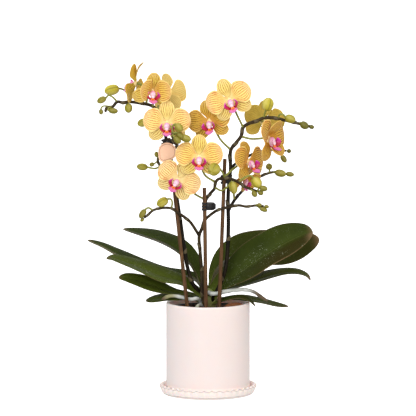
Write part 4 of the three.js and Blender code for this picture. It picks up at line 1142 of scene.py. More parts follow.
# %% Clips
clip_paint = Finish("black_clip", Specular_IOR_Level=0.2)
haze = clip_paint.noise(clip_paint.room(), 300.0, 3.0)
black_clip = clip_paint.end(clip_paint.mix(haze, (0.008, 0.008, 0.009), (0.028, 0.028, 0.03)),
                            clip_paint.step(haze, 0.3, 0.7, 0.28, 0.5), clip_paint.bump(haze, 0.00008, 0.4))

CLIPS = {
    "clip_left": ([-50, 315, -11], (13, 12, 7), 2),
    "clip_middle": ([1, 235, -15], (14, 14, 9), 3),
    "clip_right": ([22.5, 268.5, -15], (11, 8, 10), 3),
}
for node, (spot, (wide, deep, tall), ribs) in CLIPS.items():
    centre = seen(spot)
    half = tall / 2
    aside = np.array([wide * 0.42, 0, 0])
    jaw_profile = rounded([(0, -half, 0), (1, -half, 0.1), (1, half, 0.1), (0, half, 0)], 5)
    points, faces, places = turned([(radius * deep / 2, height) for radius, height in jaw_profile], 48)
    points[:, 0] *= wide / deep
    piece = Piece(node.replace("clip", "spring_clip"))
    piece.add((points + centre, faces, places), black_clip)
    piece.add(pebble(centre + aside, (wide * 0.42, deep * 0.52, tall * 0.78), 0.45, 6), black_clip)
    for rib in range(ribs):
        rib_spot = centre - aside + np.array([0, -2.0, 1.2 * tall * ((rib + 0.5) / ribs - 0.5)])
        piece.add(pebble(rib_spot, (wide * 0.44, deep * 0.85, tall * 0.3), 0.9, 6), black_clip)
    piece.stand_for(node)
print("clips:", len(CLIPS))

# %% [markdown]
# ## The finish of the tag
#
# The tag is a stiff peach card with a thin brown line just inside its edge. The line could be a
# strip laid on top. But each point of the tag knows how far out it is, so the finish can draw
# the line at an even distance from the edge. A very fine noise gives the card its fibre.

# %% Finish of the tag
card = Finish("peach_card", Roughness=0.62)
where = card.room()
reach, _, front = card.place()
fibre = card.noise(where, 1200.0, 4.0)
colour = card.mix(fibre, paint(240, 190, 156), paint(246, 204, 174))
line = card.times(card.step(reach, 0.80, 0.815), card.step(reach, 0.845, 0.86, 1.0, 0.0))
colour = card.mix(card.times(card.times(line, front), 0.85), colour, paint(120, 78, 56))
peach_card = card.end(colour, None, card.bump(fibre, 0.00006, 0.5))
print("tag finish:", len(card.tree.nodes), "nodes")

# %% [markdown]
# ## The tag
#
# The card is nearly round, with one blunt point at its lower left. An extruded outline would do
# for the form. Here it is made of rings that run from the middle of its front over the edge to
# the middle of its back, and the first number of a place is how far out the ring lies.

# %% Tag
TAG_SPOT, TAG_REACH, TAG_POINT, TAG_THICKNESS = seen([-51, 302.5, -17.5]), 11.8, 14.0, 1.2
TAG_SIDES, TAG_POINTS_TO = 96, 235 * DEG
turns = 2 * math.pi * np.arange(TAG_SIDES) / TAG_SIDES
near_point = np.maximum(0, np.cos(turns - TAG_POINTS_TO))
edge = between(TAG_REACH - 1.4 * near_point, TAG_POINT, near_point ** 7)
front_shares = (0.2, 0.4, 0.6, 0.72, 0.78, 0.8, 0.815, 0.83, 0.845, 0.86, 0.9, 0.95, 0.98)
levels = [(share, 1.0) for share in front_shares] + [(0.995, 0.9), (1.0, 0.7), (1.0, 0.3), (0.995, 0.1)]
levels += [(share, 0.0) for share in (0.98, 0.9, 0.6, 0.3)]
rings = []
for share, depth in levels:
    back = np.full(TAG_SIDES, -TAG_THICKNESS * depth)
    rings.append(np.stack([edge * share * np.cos(turns), back, edge * share * np.sin(turns)], 1))
points = np.vstack(rings + [[[0, -TAG_THICKNESS, 0]], [[0, 0, 0]]]) + TAG_SPOT
places = ring_places([share for share, _ in levels], TAG_SIDES, 0.0)
places[-1, 0] = 0
places[:, 2] = np.concatenate([np.full(TAG_SIDES, float(depth > 0.8)) for _, depth in levels] + [[1, 0]])
tag = Piece("card_tag")
tag.add((points, ring_faces(len(levels), TAG_SIDES), places), peach_card)
tag.stand_for("tag")
print("tag:", made["card_tag"], "faces")

# %% [markdown]
# ## Finishes of the spikes
#
# The stem of a spike is dark and woody, with a slightly lighter upper part. The mark of a tube
# lightens a whole stem, which the middle spike needs. Stalks of blooms are bright green, and the
# bracts that clasp the joints are dry and papery. All three are a cloud of noise between two or
# three paints, which is enough on something two to four millimetres thick.

# %% Finishes of stem, stalk and bract
stem_paint = Finish("dark_stem", Roughness=0.5, Specular_IOR_Level=0.14)
where = stem_paint.room()
clouds = stem_paint.noise(where, 90.0, 4.0)
along, _, light = stem_paint.place()
skin = stem_paint.noise(where, 700.0, 3.0)
lower = stem_paint.ramp(clouds, paints([(0.25, (13, 9, 4)), (0.5, (22, 16, 8)), (0.75, (40, 34, 16))]))
upper = stem_paint.ramp(clouds, paints([(0.25, (36, 27, 15)), (0.5, (60, 48, 29)), (0.75, (88, 76, 46))]))
colour = stem_paint.mix(stem_paint.math("MAXIMUM", stem_paint.step(along, 0.35, 0.8), light), lower, upper)
dark_stem = stem_paint.end(colour, None, stem_paint.bump(skin, 0.0002, 0.6))

stalk_paint = Finish("green_stalk", Roughness=0.45)
where = stalk_paint.room()
clouds = stalk_paint.noise(where, 160.0, 3.0)
colour = stalk_paint.mix(clouds, paint(104, 108, 32), paint(148, 150, 60))
skin = stalk_paint.noise(where, 800.0, 2.0)
green_stalk = stalk_paint.end(colour, None, stalk_paint.bump(skin, 0.0001, 0.5))

bract_paint = Finish("dry_bract", Roughness=0.65)
fibre = bract_paint.noise(bract_paint.room(), 500.0, 4.0)
colour = bract_paint.mix(fibre, paint(50, 41, 24), paint(104, 92, 58))
dry_bract = bract_paint.end(colour, None, bract_paint.bump(fibre, 0.0003, 0.6))
print("spike finishes:", dark_stem.name, green_stalk.name, dry_bract.name)

# %% [markdown]
# ## The finish of a bud
#
# A bud is yellow green, greener at its foot, with a fine dark line along each of three seams
# and a paler band halfway between them, a painted highlight on each swell. Lines in an image would
# have to be fitted to every bud. The place round the bud gives them for free: three times the
# share of a turn, folded back and forth. The mark of a bud says how young it is, and young buds are
# dark green; on the large bud of the middle spike the same darkening is painted shade.

# %% Finish of a bud
BUD_SEAMS = 3.0
bud_paint = Finish("green_bud", Roughness=0.42, Specular_IOR_Level=0.3)
where = bud_paint.room()
along, around, youth_and_shade = bud_paint.place()
beside_seam = bud_paint.math("PINGPONG", bud_paint.times(around, BUD_SEAMS), 0.5)
clouds = bud_paint.noise(where, 120.0, 3.0)
colour = bud_paint.mix(clouds, paint(162, 150, 32), paint(202, 190, 68))
colour = bud_paint.mix(bud_paint.step(along, 0.0, 0.4, 0.6, 0.0), colour, paint(104, 108, 26))
shade = bud_paint.times(bud_paint.step(bud_paint.noise(where, 75.0, 2.0), 0.42, 0.7), 0.3)
colour = bud_paint.mix(shade, colour, paint(140, 112, 34))
# Painted highlight: a paler band halfway between the seams, on each swell of the bud.
colour = bud_paint.mix(bud_paint.step(beside_seam, 0.2, 0.5, 0.0, 0.45), colour, paint(222, 210, 124))
colour = bud_paint.mix(bud_paint.step(beside_seam, 0.0, 0.12, 0.6, 0.0), colour, paint(104, 98, 22))
# Young buds are painted dark green, and the same darkening is painted shade on the large bud of the middle
# spike.
colour = bud_paint.mix(bud_paint.times(youth_and_shade, 0.7), colour, paint(88, 86, 24))
green_bud = bud_paint.end(colour, None, bud_paint.bump(bud_paint.noise(where, 600.0, 2.0), 0.0001, 0.5))
print("bud finish:", len(bud_paint.tree.nodes), "nodes")

# %% [markdown]
# ## Where the blooms are
#
# Each of the twelve blooms has a place for its centre, and turns by `yaw` to the right, `pitch`
# up and `roll` clockwise. Most of them are open in the usual way, and `cup` is how far their
# petals close forward. Four are seen from the side or half closed, so the photo shows each of
# their five parts alone. Those give, for the upright sepal, the two lower sepals and the two
# petals, its turn clockwise from upright, how far it closes forward, and how far it is twisted
# about its own length, all in degrees.

# %% Where the blooms are
BLOOMS = {
    "bloom_left_1": dict(at=[-90.5, 388.5, -4], yaw=-115, pitch=10, roll=24, size=0.95,
                         turns=(0, 132, -132, 108, -52), closings=(10, 5, 5, -8, -2),
                         twists=(0, 0, 0, 0, 24)),
    "bloom_left_2": dict(at=[-69, 378, -20], yaw=8, pitch=0, roll=3, size=0.93,
                         turns=(0, 124, -112, 82, -76), closings=(28, 8, -4, 40, 50)),
    "bloom_left_3": dict(at=[-50, 375, 8], yaw=142, pitch=0, roll=5, cup=4, size=0.93),
    "bloom_left_4": dict(at=[-51, 338, -30], yaw=0, pitch=4, roll=0, cup=0, size=1),
    "bloom_middle_1": dict(at=[-11, 296, -32], yaw=0, pitch=2, roll=0, cup=0, size=1),
    "bloom_middle_2": dict(at=[-37, 268, -23], yaw=-8, pitch=0, roll=28, cup=0, size=0.97),
    "bloom_middle_3": dict(at=[50, 291, -4], yaw=45, pitch=6, roll=-10, size=0.95,
                           turns=(-8, 132, -132, 88, -60), closings=(5, 5, 5, -4, 6)),
    "bloom_middle_4": dict(at=[46, 270, 18], yaw=50, pitch=-25, roll=20, cup=18, size=0.78),
    "bloom_right_1": dict(at=[27, 367, -26], yaw=-4, pitch=0, roll=-24, cup=0, size=1),
    "bloom_right_2": dict(at=[2, 341, -10], yaw=-15, pitch=-4, roll=-12, cup=4, size=0.95),
    "bloom_right_3": dict(at=[69, 342, 22], yaw=160, pitch=0, roll=-8, cup=8, size=0.93),
    "bloom_right_4": dict(at=[75, 320, -10], yaw=54, pitch=6, roll=0, size=1.05,
                          turns=(8, 150, -168, 79, -58), closings=(50, 32, -6, 4, 18)),
}


def bloom_stand(bloom):
    """Takes points of a flower that faces the viewer, in millimetres, to their places on the plant."""
    facing = (turning(z=bloom["yaw"] * DEG) @ turning(x=-bloom["pitch"] * DEG) @ turning(x=math.pi / 2)
              @ turning(z=-bloom["roll"] * DEG)) * bloom["size"]
    centre = seen(bloom["at"])
    return lambda points: np.asarray(points, float) @ facing.T + centre


print("blooms:", len(BLOOMS))

# %% [markdown]
# ## Where the spikes run
#
# A spike bends gently from joint to joint, branches low down, and carries its flowers and then
# its buds towards the end. The list of places is the real drawing, so it is worth its length.
# `joints` are shares of the stem's length. A branch is its two radii and its places. A bud is
# the places of its stalk, its tip and its width, with a fourth number where the bud is darker in
# colour than its width tells: younger, and on the large bud of the middle spike, painted shade.
# A flower is its name and the two first places of its stalk, because the bloom itself says where
# the stalk ends.

# %% Where the spikes run
SPIKES = {
    "flower_spike_left": dict(
        radius=(2.2, 1.7), joints=(0.09, 0.2, 0.33, 0.47, 0.6, 0.68, 0.76, 0.83, 0.9),
        stem=[
            [-4, 122, 0], [-9, 127.5, -5], [-14.5, 132, -9], [-20, 140, -11], [-23, 149, -11],
            [-27, 165, -11], [-31, 192, -10], [-35, 220, -8], [-41, 258, -6], [-47, 284, -5],
            [-51, 305, -6], [-53, 325, -6], [-56, 342, -4], [-62, 353, -3], [-70, 360, -2],
            [-85, 363.5, -2], [-98, 365, -3], [-106, 364, -4], [-113, 365, -4], [-119, 359, -4],
            [-126, 358, -4], [-128, 352, -4]],
        branches=[
            ((1.6, 1.3), [[-42, 262, -5], [-50, 276, -7], [-57, 282, -9], [-62, 290, -10],
                [-63, 296, -10]]),
            ((1.6, 1.3), [[-51, 303, -6], [-43, 306, -8], [-38, 311, -20], [-40, 312, -32],
                [-43, 316, -40], [-44, 327, -45]])],
        buds=[
            ([[-96, 365, -2], [-99, 372, 8], [-104, 379.5, 13], [-111, 382, 8]], [-129, 378, 1], 13.5),
            ([[-113, 365, -4], [-119, 371, -6], [-124, 373, -6], [-127, 370, -6]], [-138, 364.5, -7], 8.5),
            ([[-98, 365, -3], [-99, 363, -6]], [-99, 351, -8], 10),
            ([[-119, 359, -4], [-124, 357, -7], [-124, 354.5, -8]], [-112, 353, -10], 7.5),
            ([[-119, 359, -4], [-131, 359.5, -5], [-133.5, 356, -5]], [-133, 349, -5], 5.5),
            ([[-57, 345, -4], [-68, 346, -4], [-75, 341, -5]], [-88, 337, -6], 10.5),
            ([[-44, 327, -45], [-44, 334, -46], [-40, 336.5, -47]], [-32, 328, -51], 9.5),
            ([[-44, 325, -44], [-42, 321, -46]], [-34, 313, -48], 8),
            ([[-44, 326, -45], [-38, 326, -45]], [-31, 318.5, -46], 8),
            ([[-44, 326, -44], [-34, 321, -42]], [-21, 317, -43], 9.5),
            ([[-59, 285, -10], [-66, 282, -11], [-75, 283.5, -11]], [-89, 284.5, -12], 9),
            ([[-62, 292, -10], [-67, 288, -11]], [-73, 286, -12], 5.5),
            ([[-63, 294, -10], [-63, 296, -10]], [-65, 303, -10], 6)],
        flowers=[
            ("bloom_left_1", [-77, 362, -2], [-76, 373, 2]),
            ("bloom_left_2", [-69, 359, -2], [-68, 368, -10]),
            ("bloom_left_3", [-63, 354, -3], [-60, 367, 4]),
            ("bloom_left_4", [-54, 333, -5], [-52, 337, -12])]),
    "flower_spike_middle": dict(
        radius=(2, 1.6), joints=(0.07, 0.21, 0.34, 0.47, 0.55, 0.63, 0.72, 0.8, 0.9),
        stem=[
            [-3, 108, -6], [-5, 115, -9.5], [-7, 124, -11], [-7.5, 134, -11], [-8, 155, -10],
            [-10, 180, -10], [-11, 198, -10], [-7, 209, -10], [-4, 221, -11], [-4, 234, -12],
            [-2, 244, -13], [3, 251, -14], [8, 257, -16], [9, 263, -19], [12, 268, -24],
            [19, 270, -28], [28, 269, -29], [38, 265, -29], [46, 259, -29], [54, 256, -28],
            [62, 253, -28]],
        branches=[
            ((1.7, 1.3), [[-11, 198, -10], [-17, 208, -14], [-22, 215, -17], [-30, 222, -20],
                [-38, 227, -22], [-45, 232, -23], [-54, 233, -23], [-68, 230, -23], [-74, 225, -23],
                [-80, 220, -23]]),
            ((1.7, 1.3), [[-4, 218, -11], [4, 225, -19], [12, 230, -25], [22, 233, -27],
                [38, 236, -27], [48, 234.5, -26], [61, 236, -25], [70, 235, -25]])],
        buds=[
            ([[-46, 232, -23], [-44.5, 239, -24], [-46, 243.5, -24], [-50, 244, -24]],
             [-63.5, 236, -25], 11.5),
            ([[-69, 230, -23], [-74, 233, -24], [-78, 231, -24]], [-85, 220, -25], 8),
            ([[-78, 222, -23], [-80, 220, -23]], [-84, 216, -23], 4.5),
            ([[9, 258, -17], [17, 254.5, -26], [25, 260, -33], [30, 266, -36]], [33, 250, -37], 10.5),
            ([[38, 265, -29], [46, 271, -31], [53, 273, -31], [56, 270.5, -31]], [65, 258.5, -33], 13),
            ([[61, 253, -28], [64, 258, -33]], [74, 256, -35], 7.5),
            ([[52, 256.5, -28], [55.5, 254, -31]], [60, 246.5, -32], 7),
            ([[60, 254, -28], [62, 253, -28]], [69, 250.5, -28], 6.5),
            # Painted shade: this bud's fourth number darkens its green for the shade it lies in.
            ([[21, 270, -28], [18, 277, -36], [14, 282, -38], [10, 283, -40]], [5, 278, -55], 16.2, 0.45),
            ([[58, 235.5, -25], [61, 237, -27]], [67, 236, -29], 5),
            ([[60, 236, -25], [64, 233, -25]], [74, 229, -25], 6),
            ([[68, 235, -25], [70, 235, -25]], [76, 234, -25], 4.5)],
        flowers=[
            ("bloom_middle_1", [9, 265, -20], [-4, 274, -20]),
            ("bloom_middle_2", [-3, 243, -13], [-16, 250, -13]),
            ("bloom_middle_3", [19, 270, -28], [31, 281, -17])]),
    "flower_spike_right": dict(
        radius=(2.3, 1.7), joints=(0.1, 0.26, 0.4, 0.5, 0.58, 0.64, 0.7, 0.77, 0.85, 0.93),
        stem=[
            [4, 116, -3], [9, 125, -7.5], [13, 133, -9.5], [17, 142, -11.5], [21, 153, -13],
            [24, 174, -13], [25, 193, -13], [25.5, 215, -12], [25, 240, -11], [26, 263, -11],
            [28, 280, -10], [28.5, 305, -8], [34, 313, -6], [41, 322, -5], [44.5, 334, -4],
            [52, 338.5, -3], [60, 341, -3], [70, 345, -3], [82, 345, -4], [96, 342, -5],
            [104, 340, -5], [113, 338, -5], [128, 334, -5]],
        branches=[
            ((1.8, 1.4), [[25, 228, -12], [29, 236, -2], [35, 245, 14], [44, 255, 33], [56, 266, 45],
                [66, 272.5, 48], [76, 276.5, 49], [84, 278, 49], [98, 276, 48]]),
            ((1.6, 1.3), [[28, 280, -10], [33, 287, 0], [44, 294, 16], [60, 302, 28], [78, 305.5, 32],
                [99, 304.5, 33]])],
        buds=[
            ([[70, 344.5, -3], [70.5, 350, -5], [72, 354, -6]], [77, 370, -8], 15),
            ([[87, 344.5, -4], [89.5, 349, -6], [94, 349, -7], [96, 346.5, -7]], [109, 341, -9], 10.5),
            ([[112, 338, -5], [115, 339, -6]], [125, 332.5, -8], 9.5, 1.3),
            ([[124, 335, -5], [126, 334.5, -5]], [132.5, 333, -5], 5.5, 1.35),
            ([[77, 276.7, 49], [77.5, 281, 48]], [76, 289, 47], 8.5),
            ([[80, 277.5, 49], [84, 278, 48]], [98.5, 275, 47], 9.5),
            ([[95, 276.5, 48], [98, 276, 48]], [108.5, 274.5, 48], 6.5),
            ([[61, 302, 28], [61.5, 303, 26]], [67, 303, 24], 5),
            ([[97, 304.5, 33], [99, 304.5, 33]], [104.5, 304, 33], 5.5, 1.3),
            ([[90, 305, 32.5], [92, 299, 33]], [98, 290, 33], 7)],
        flowers=[
            ("bloom_middle_4", [33, 242, 8.5], [33, 257, 20]),
            ("bloom_right_1", [44, 333, -4], [36, 349, -12]),
            ("bloom_right_2", [28.5, 305, -8], [15, 319, -2]),
            ("bloom_right_3", [60, 341, -3], [66, 342, 4]),
            ("bloom_right_4", [41, 322, -5], [54, 319, -5])]),
}
print("spikes:", len(SPIKES), "with", sum(len(spike["buds"]) for spike in SPIKES.values()), "buds")

# %% [markdown]
# ## Stems and bracts
#
# A stem thickens at each joint, and a pointed sheath, the bract, clasps it there. A curve with a
# taper object could give the swellings, but each joint would then need its own point. Here the
# radius along the tube is a formula, and the bract is a small blade bent round the stem.

# %% Shapes of stem and bract
STEM_STOUTNESS, JOINT_SWELL, JOINT_LENGTH = 1.12, 0.16, 2.2
BRACT_LENGTH, BRACT_WRAP = 3.4, 2.1


def stem_shape(places, radius, joints, sides, light):
    route = Route([seen(place) for place in places])
    shares = np.linspace(0, 1, max(24, int(route.length / 1.6)))
    radii = STEM_STOUTNESS * between(radius[0], radius[1], shares ** 1.5)
    for joint in joints:
        apart = (shares - joint) * route.length
        radii = radii * (1 + JOINT_SWELL * np.exp(-(apart / JOINT_LENGTH) ** 2))
    radii = radii * np.sqrt(np.clip((1 - shares) * route.length, 0.15, 1))
    return tube(route.at(shares), radii, sides, light), route


def bract_shape(route, joint, radius, side):
    """A short pointed sheath that clasps the stem above a joint."""
    length = BRACT_LENGTH * radius / route.length

    def sheet(along, across):
        share = joint + along * length
        middle, heading = route.at(share), route.heading(share)
        out = unit(np.cross(heading, np.cross(np.array([side, -0.6, 0.0]), heading)))
        beside = np.cross(heading, out)
        # A blade also asks for places just before its start, where a bare power is not a number.
        wide = BRACT_WRAP * (1 - np.maximum(along, 0) ** 1.6) * across
        spread = radius * (1.16 + 0.28 * along)
        return middle + out * (spread * np.cos(wide))[..., None] + beside * (spread * np.sin(wide))[..., None]

    return blade(sheet, np.linspace(0, 0.97, 9), np.linspace(-1, 1, 11),
                 lambda along, across: np.full_like(along, 0.5))


print("a stem swells by", JOINT_SWELL, "at each joint")

# %% [markdown]
# ## Buds
#
# A bud is egg-shaped, blunt where it starts and pointed where it will open, with three shallow
# seams where the outer tepals of the closed flower meet. A stretched sphere would miss the point.
# So its widths are read off along its length, the profile is turned, and the seams are pressed
# in before the bud is laid from its foot to its tip.

# %% Shape of a bud
BUD_SHARES = [0, 0.05, 0.16, 0.34, 0.52, 0.7, 0.85, 0.94, 0.985, 1.0]
BUD_WIDTHS = [0, 0.52, 0.8, 0.97, 1.0, 0.93, 0.7, 0.45, 0.22, 0]


def bud_shape(base, tip, width, mark):
    shares = np.sin(np.linspace(0, math.pi / 2, 19)) ** 2
    swell = np.interp(shares, BUD_SHARES, BUD_WIDTHS)
    profile = np.column_stack([swell * width / 2, shares * np.linalg.norm(tip - base)])
    points, faces, places = turned(profile, 24, mark)
    near_seam = np.exp(-(np.sin(BUD_SEAMS * math.pi * places[:, 1]) / 0.22) ** 2)
    points[:, :2] *= (1 - 0.055 * near_seam * soft_step(0.1, 0.5, places[:, 0]))[:, None]
    up = unit(tip - base)
    across = unit(np.cross(up, [0.2, 1.0, 0.1]))
    return points @ np.array([across, np.cross(up, across), up]) + base, faces, places


print("a bud of", len(bud_shape(np.zeros(3), np.array([0, 0, 12.0]), 8, 0.0)[0]), "points")

# %% [markdown]
# ## The spikes
#
# Now each spike is put together: the stem and its branches with their bracts, then the buds on
# their stalks, then the stalks of the blooms, which swell a little where they meet the flower.
# A small bud counts as young, unless its line in the table says otherwise.

# %% The spikes
STALK_RADIUS, HUB_BACK = 1.35, -3.0
BRANCH_JOINTS = (0.3, 0.55, 0.75, 0.9)
STEM_LIGHT = {"flower_spike_middle": 0.75}


def add_stem(piece, places, radius, joints, sides, light):
    shape, route = stem_shape(places, radius, joints, sides, light)
    piece.add(shape, dark_stem)
    for number, joint in enumerate(joints):
        thickness = between(radius[0], radius[1], joint ** 2)
        piece.add(bract_shape(route, joint, thickness, 1 if number % 2 else -1), dry_bract)


def add_bud(piece, stalk, tip, width, youth_and_shade=None):
    base, tip = seen(stalk[-1]), seen(tip)
    line = Route([seen(place) for place in stalk] + [base + unit(tip - base)])
    radius = min(STALK_RADIUS, width / 5)
    shares = np.linspace(0, 1, 20)
    piece.add(tube(line.at(shares), radius * (1 - 0.15 * np.sin(math.pi * shares)), 12), green_stalk)
    if youth_and_shade is None:
        youth_and_shade = float(np.clip((13 - width) / 5, 0, 1))
    piece.add(bud_shape(base, tip, width, youth_and_shade), green_bud)


def add_bloom_stalk(piece, name, start, via):
    stand = bloom_stand(BLOOMS[name])
    behind, end = stand([0, 0, HUB_BACK - 4.5]), stand([0, 0, HUB_BACK - 0.05])
    line = Route([seen(start), seen(via), behind, end])
    shares = np.linspace(0, 1, 30)
    radii = STALK_RADIUS * (1 + 0.35 * soft_step(0.75, 1, shares) + 0.3 * (1 - soft_step(0, 0.12, shares)))
    piece.add(tube(line.at(shares), radii, 14), green_stalk)


for node, spike in SPIKES.items():
    piece = Piece(node.replace("flower_spike", "spike"))
    light = STEM_LIGHT.get(node, 0.0)
    add_stem(piece, spike["stem"], spike["radius"], spike["joints"], 16, light)
    for radius, path in spike["branches"]:
        add_stem(piece, path, radius, BRANCH_JOINTS, 14, light)
    for bud in spike["buds"]:
        add_bud(piece, *bud)
    for flower in spike["flowers"]:
        add_bloom_stalk(piece, *flower)
    piece.stand_for(node)
    print(node, made[piece.name], "faces")

# %% [markdown]
# ## Finishes of petal and sepal
#
# The veins of a moth orchid's petal fan out from its centre like the ribs of a shell. A scanned
# petal would show them, but not at any size. Here they are lines across the blade's own width,
# so that they spread as it widens; a noise makes them wander, thicken, thin and break up, and
# they fade towards the rim. The ground is cream at the centre, yellow and then paler.
# `care` sets each bloom apart: `pale_back` for a back that the light shines through, `deep` for
# the deep golden blooms, whose veins are redder and whose tepals are darkened towards their base
# as painted shade between them, and `cream` for the palest ones.

# %% Finish of petal and sepal
def vein_lines(finish, where, along, across, aside, lanes):
    """How strong the stripe of a vein is at each point."""
    wander = finish.noise(where, 150.0, 2.0)
    lane = finish.plus(finish.times(across, lanes), finish.times(wander, 0.9))
    beside = finish.math("PINGPONG", lane, 0.5)
    thick = finish.step(finish.noise(where, 320.0, 2.0), 0.3, 0.7, 0.17, 0.3)
    vein = finish.step(beside, 0.05, thick, 1.0, 0.0)
    patches = finish.noise(finish.spot(finish.times(along, 9.0), finish.times(across, 7.0)), 2.0, 1.0)
    vein = finish.times(vein, finish.step(patches, 0.3, 0.55, 0.6, 1.0))
    vein = finish.times(vein, finish.step(along, 0.12, 0.34))
    vein = finish.times(vein, finish.step(along, 0.92, 1.0, 1.0, 0.3))
    return finish.times(vein, finish.step(aside, 0.88, 1.0, 1.0, 0.3))


def striped(name, lanes, edge, ground, middle, stripe, spots):
    finish = Finish(name, Roughness=0.42, Sheen_Weight=0.03, Specular_IOR_Level=0.15)
    where = finish.room()
    along, across, under = finish.place()
    pale_back, deep, cream = finish.place("care")
    aside = finish.math("ABSOLUTE", across)
    vein = vein_lines(finish, where, along, across, aside, lanes)

    glow = finish.noise(where, 80.0, 2.0)
    spread = finish.plus(along, finish.times(glow, 0.18))
    face = finish.ramp(spread, paints([(0.08, middle), (0.36, ground), (0.72, ground), (0.98, edge)]))
    face = finish.mix(finish.step(aside, 0.5, 1.0, 0.0, 0.55), face, paint(*edge))
    face = finish.mix(cream, face, paint(252, 236, 184))
    face = finish.mix(finish.times(deep, 0.8), face, paint(202, 142, 6))
    # Painted shade: deep blooms are darker towards the base of each tepal, where the tepals meet.
    face = finish.mix(finish.times(deep, finish.step(along, 0.1, 0.55, 0.9, 0.0)), face, paint(194, 128, 12))
    patch = finish.times(finish.step(finish.noise(where, 130.0, 3.0), 0.5, 0.7), finish.step(aside, 0.3, 0.7))
    face = finish.mix(finish.times(patch, spots), face, paint(216, 128, 62))
    stripes = finish.mix(finish.times(deep, 1.5, True), paint(*stripe), paint(120, 46, 6))
    face = finish.mix(vein, face, stripes)
    rim = finish.math("MAXIMUM", finish.step(aside, 0.9, 0.97), finish.step(along, 0.95, 0.985))
    face = finish.mix(finish.times(rim, 0.6), face, paint(250, 226, 146))

    back = finish.mix(glow, paint(180, 154, 42), paint(222, 200, 98))
    back = finish.mix(finish.step(along, 0.0, 0.55, 0.55, 0.0), back, paint(146, 144, 48))
    back = finish.mix(deep, back, paint(236, 176, 26))
    back = finish.mix(pale_back, back, paint(252, 224, 140))
    back = finish.mix(finish.times(vein, 0.4), back, paint(170, 128, 40))
    colour = finish.mix(finish.step(under, 0.5, 0.7), face, back)
    relief = finish.bump(vein, 0.00016, 0.6, finish.bump(finish.noise(where, 1100.0, 2.0), 0.00005, 0.5))
    return finish.end(colour, None, relief)


petal_finish = striped("striped_petal", lanes=5.5, edge=(240, 206, 132), ground=(240, 214, 106),
                       middle=(250, 230, 166), stripe=(202, 92, 42), spots=0.5)
sepal_finish = striped("striped_sepal", lanes=3.6, edge=(234, 212, 126), ground=(232, 210, 100),
                       middle=(242, 224, 146), stripe=(176, 104, 36), spots=0.12)
print("petal finish:", len(petal_finish.node_tree.nodes), "nodes")

# %% [markdown]
# ## The rule for a tepal
#
# A moth orchid's flower has three narrow sepals behind and two broad petals in front, and all
# five are called tepals. One could be modelled and copied, but no two on a real flower are
# quite alike. So each is a blade that follows one rule: how wide it is along its length, how it
# lifts and bends back, how deep it is dished, and how its rim frills. `claw` is the width
# at its base as a share of the greatest width, and `layer` puts petals in front of sepals.

# %% The rule for a tepal
SEPAL = dict(start=2.7, length=25.3, width=20, claw=0.3, closing=0.25, layer=-1, lift=1.6, reflex=2.5,
             dish=0, wave=0)
PETAL = dict(start=1.5, length=28.5, width=31, claw=0.2, closing=1, layer=0.5, lift=3.2, reflex=2,
             dish=1, wave=0.8)
TEPALS = [(SEPAL, 0), (SEPAL, 132), (SEPAL, -132), (PETAL, 76), (PETAL, -76)]
TEPAL_THICKNESS, FRILL, KEEL = 0.8, 0.45, 0.5


def tepal_outline(share, claw):
    swell = claw + (1 - claw) * soft_step(0, 0.55, share)
    close = np.maximum(0, (share - 0.45) / 0.55) ** 2.3
    return swell * np.sqrt(np.maximum(0.002, 1 - close))


def tepal_sheet(form, turn, closed, twist, ripple):
    turn, closed, twist = turn * DEG, closed * DEG, twist * DEG
    level = np.array([math.sin(turn), math.cos(turn), 0])
    forward = np.array([0, 0, 1.0])
    outward = level * math.cos(closed) + forward * math.sin(closed)
    flat_upper = forward * math.cos(closed) - level * math.sin(closed)
    flat_side = np.array([math.cos(turn), -math.sin(turn), 0])
    upper = flat_upper * math.cos(twist) + np.cross(outward, flat_upper) * math.sin(twist)
    sideways = flat_side * math.cos(twist) + np.cross(outward, flat_side) * math.sin(twist)

    def sheet(along, across):
        share = np.clip(along, 0, 1)
        half = tepal_outline(share, form["claw"]) * form["width"] / 2
        rise = form["lift"] * np.sin(math.pi * 0.8 * share) - form["reflex"] * share ** 3
        dished = form["dish"] * across ** 2 * np.sin(math.pi * share)
        waved = form["wave"] * across * np.abs(across) * np.sin(2 * math.pi * share) * share
        frill = FRILL * np.abs(across) ** 4 * np.sin(ripple + 11 * share + 3 * across) * share
        keel = -KEEL * np.exp(-(across / 0.12) ** 2) * (1 - share) * soft_step(0, 0.2, share)
        height = rise + dished + waved + frill + keel
        out = level * form["start"] + forward * form["layer"] + outward * (along * form["length"])[..., None]
        return out + sideways * (across * half)[..., None] + upper * height[..., None]

    return sheet


def tepal_thickness(along, across):
    thin_rim = np.sqrt(np.maximum(0, 1 - np.abs(across) ** 10)) * np.sqrt(np.clip((1 - along) / 0.04, 0, 1))
    return TEPAL_THICKNESS * thin_rim


print("tepals:", len(TEPALS), "to a bloom")

# %% [markdown]
# ## The hub
#
# All five tepals grow from the thickened end of the stalk. In front it is hidden by the lip, and
# from behind it shows as a small pale knob. It is a flattened turned shape, laid on its side so
# that its axis points upright in the flower.

# %% The hub
HUB_PROFILE = [(0, -4.9), (2.2, -4.1), (3.9, -2), (4.3, 0), (3.9, 2), (2.2, 4), (0, 4.8)]
HUB_SHRINK, HUB_SPOT = np.array([1, 1, -0.62]), np.array([0, -1.0, -0.35])
hub_paint = Finish("flower_hub", Roughness=0.5)
clouds = hub_paint.noise(hub_paint.room(), 300.0, 2.0)
flower_hub = hub_paint.end(hub_paint.mix(clouds, paint(236, 206, 128), paint(250, 232, 176)), None,
                           hub_paint.bump(clouds, 0.0002, 0.4))


def hub_shape():
    points, faces, places = turned(HUB_PROFILE, 24)
    return points[:, [0, 2, 1]] * HUB_SHRINK + HUB_SPOT, faces, places


print("hub:", len(hub_shape()[1]), "faces")

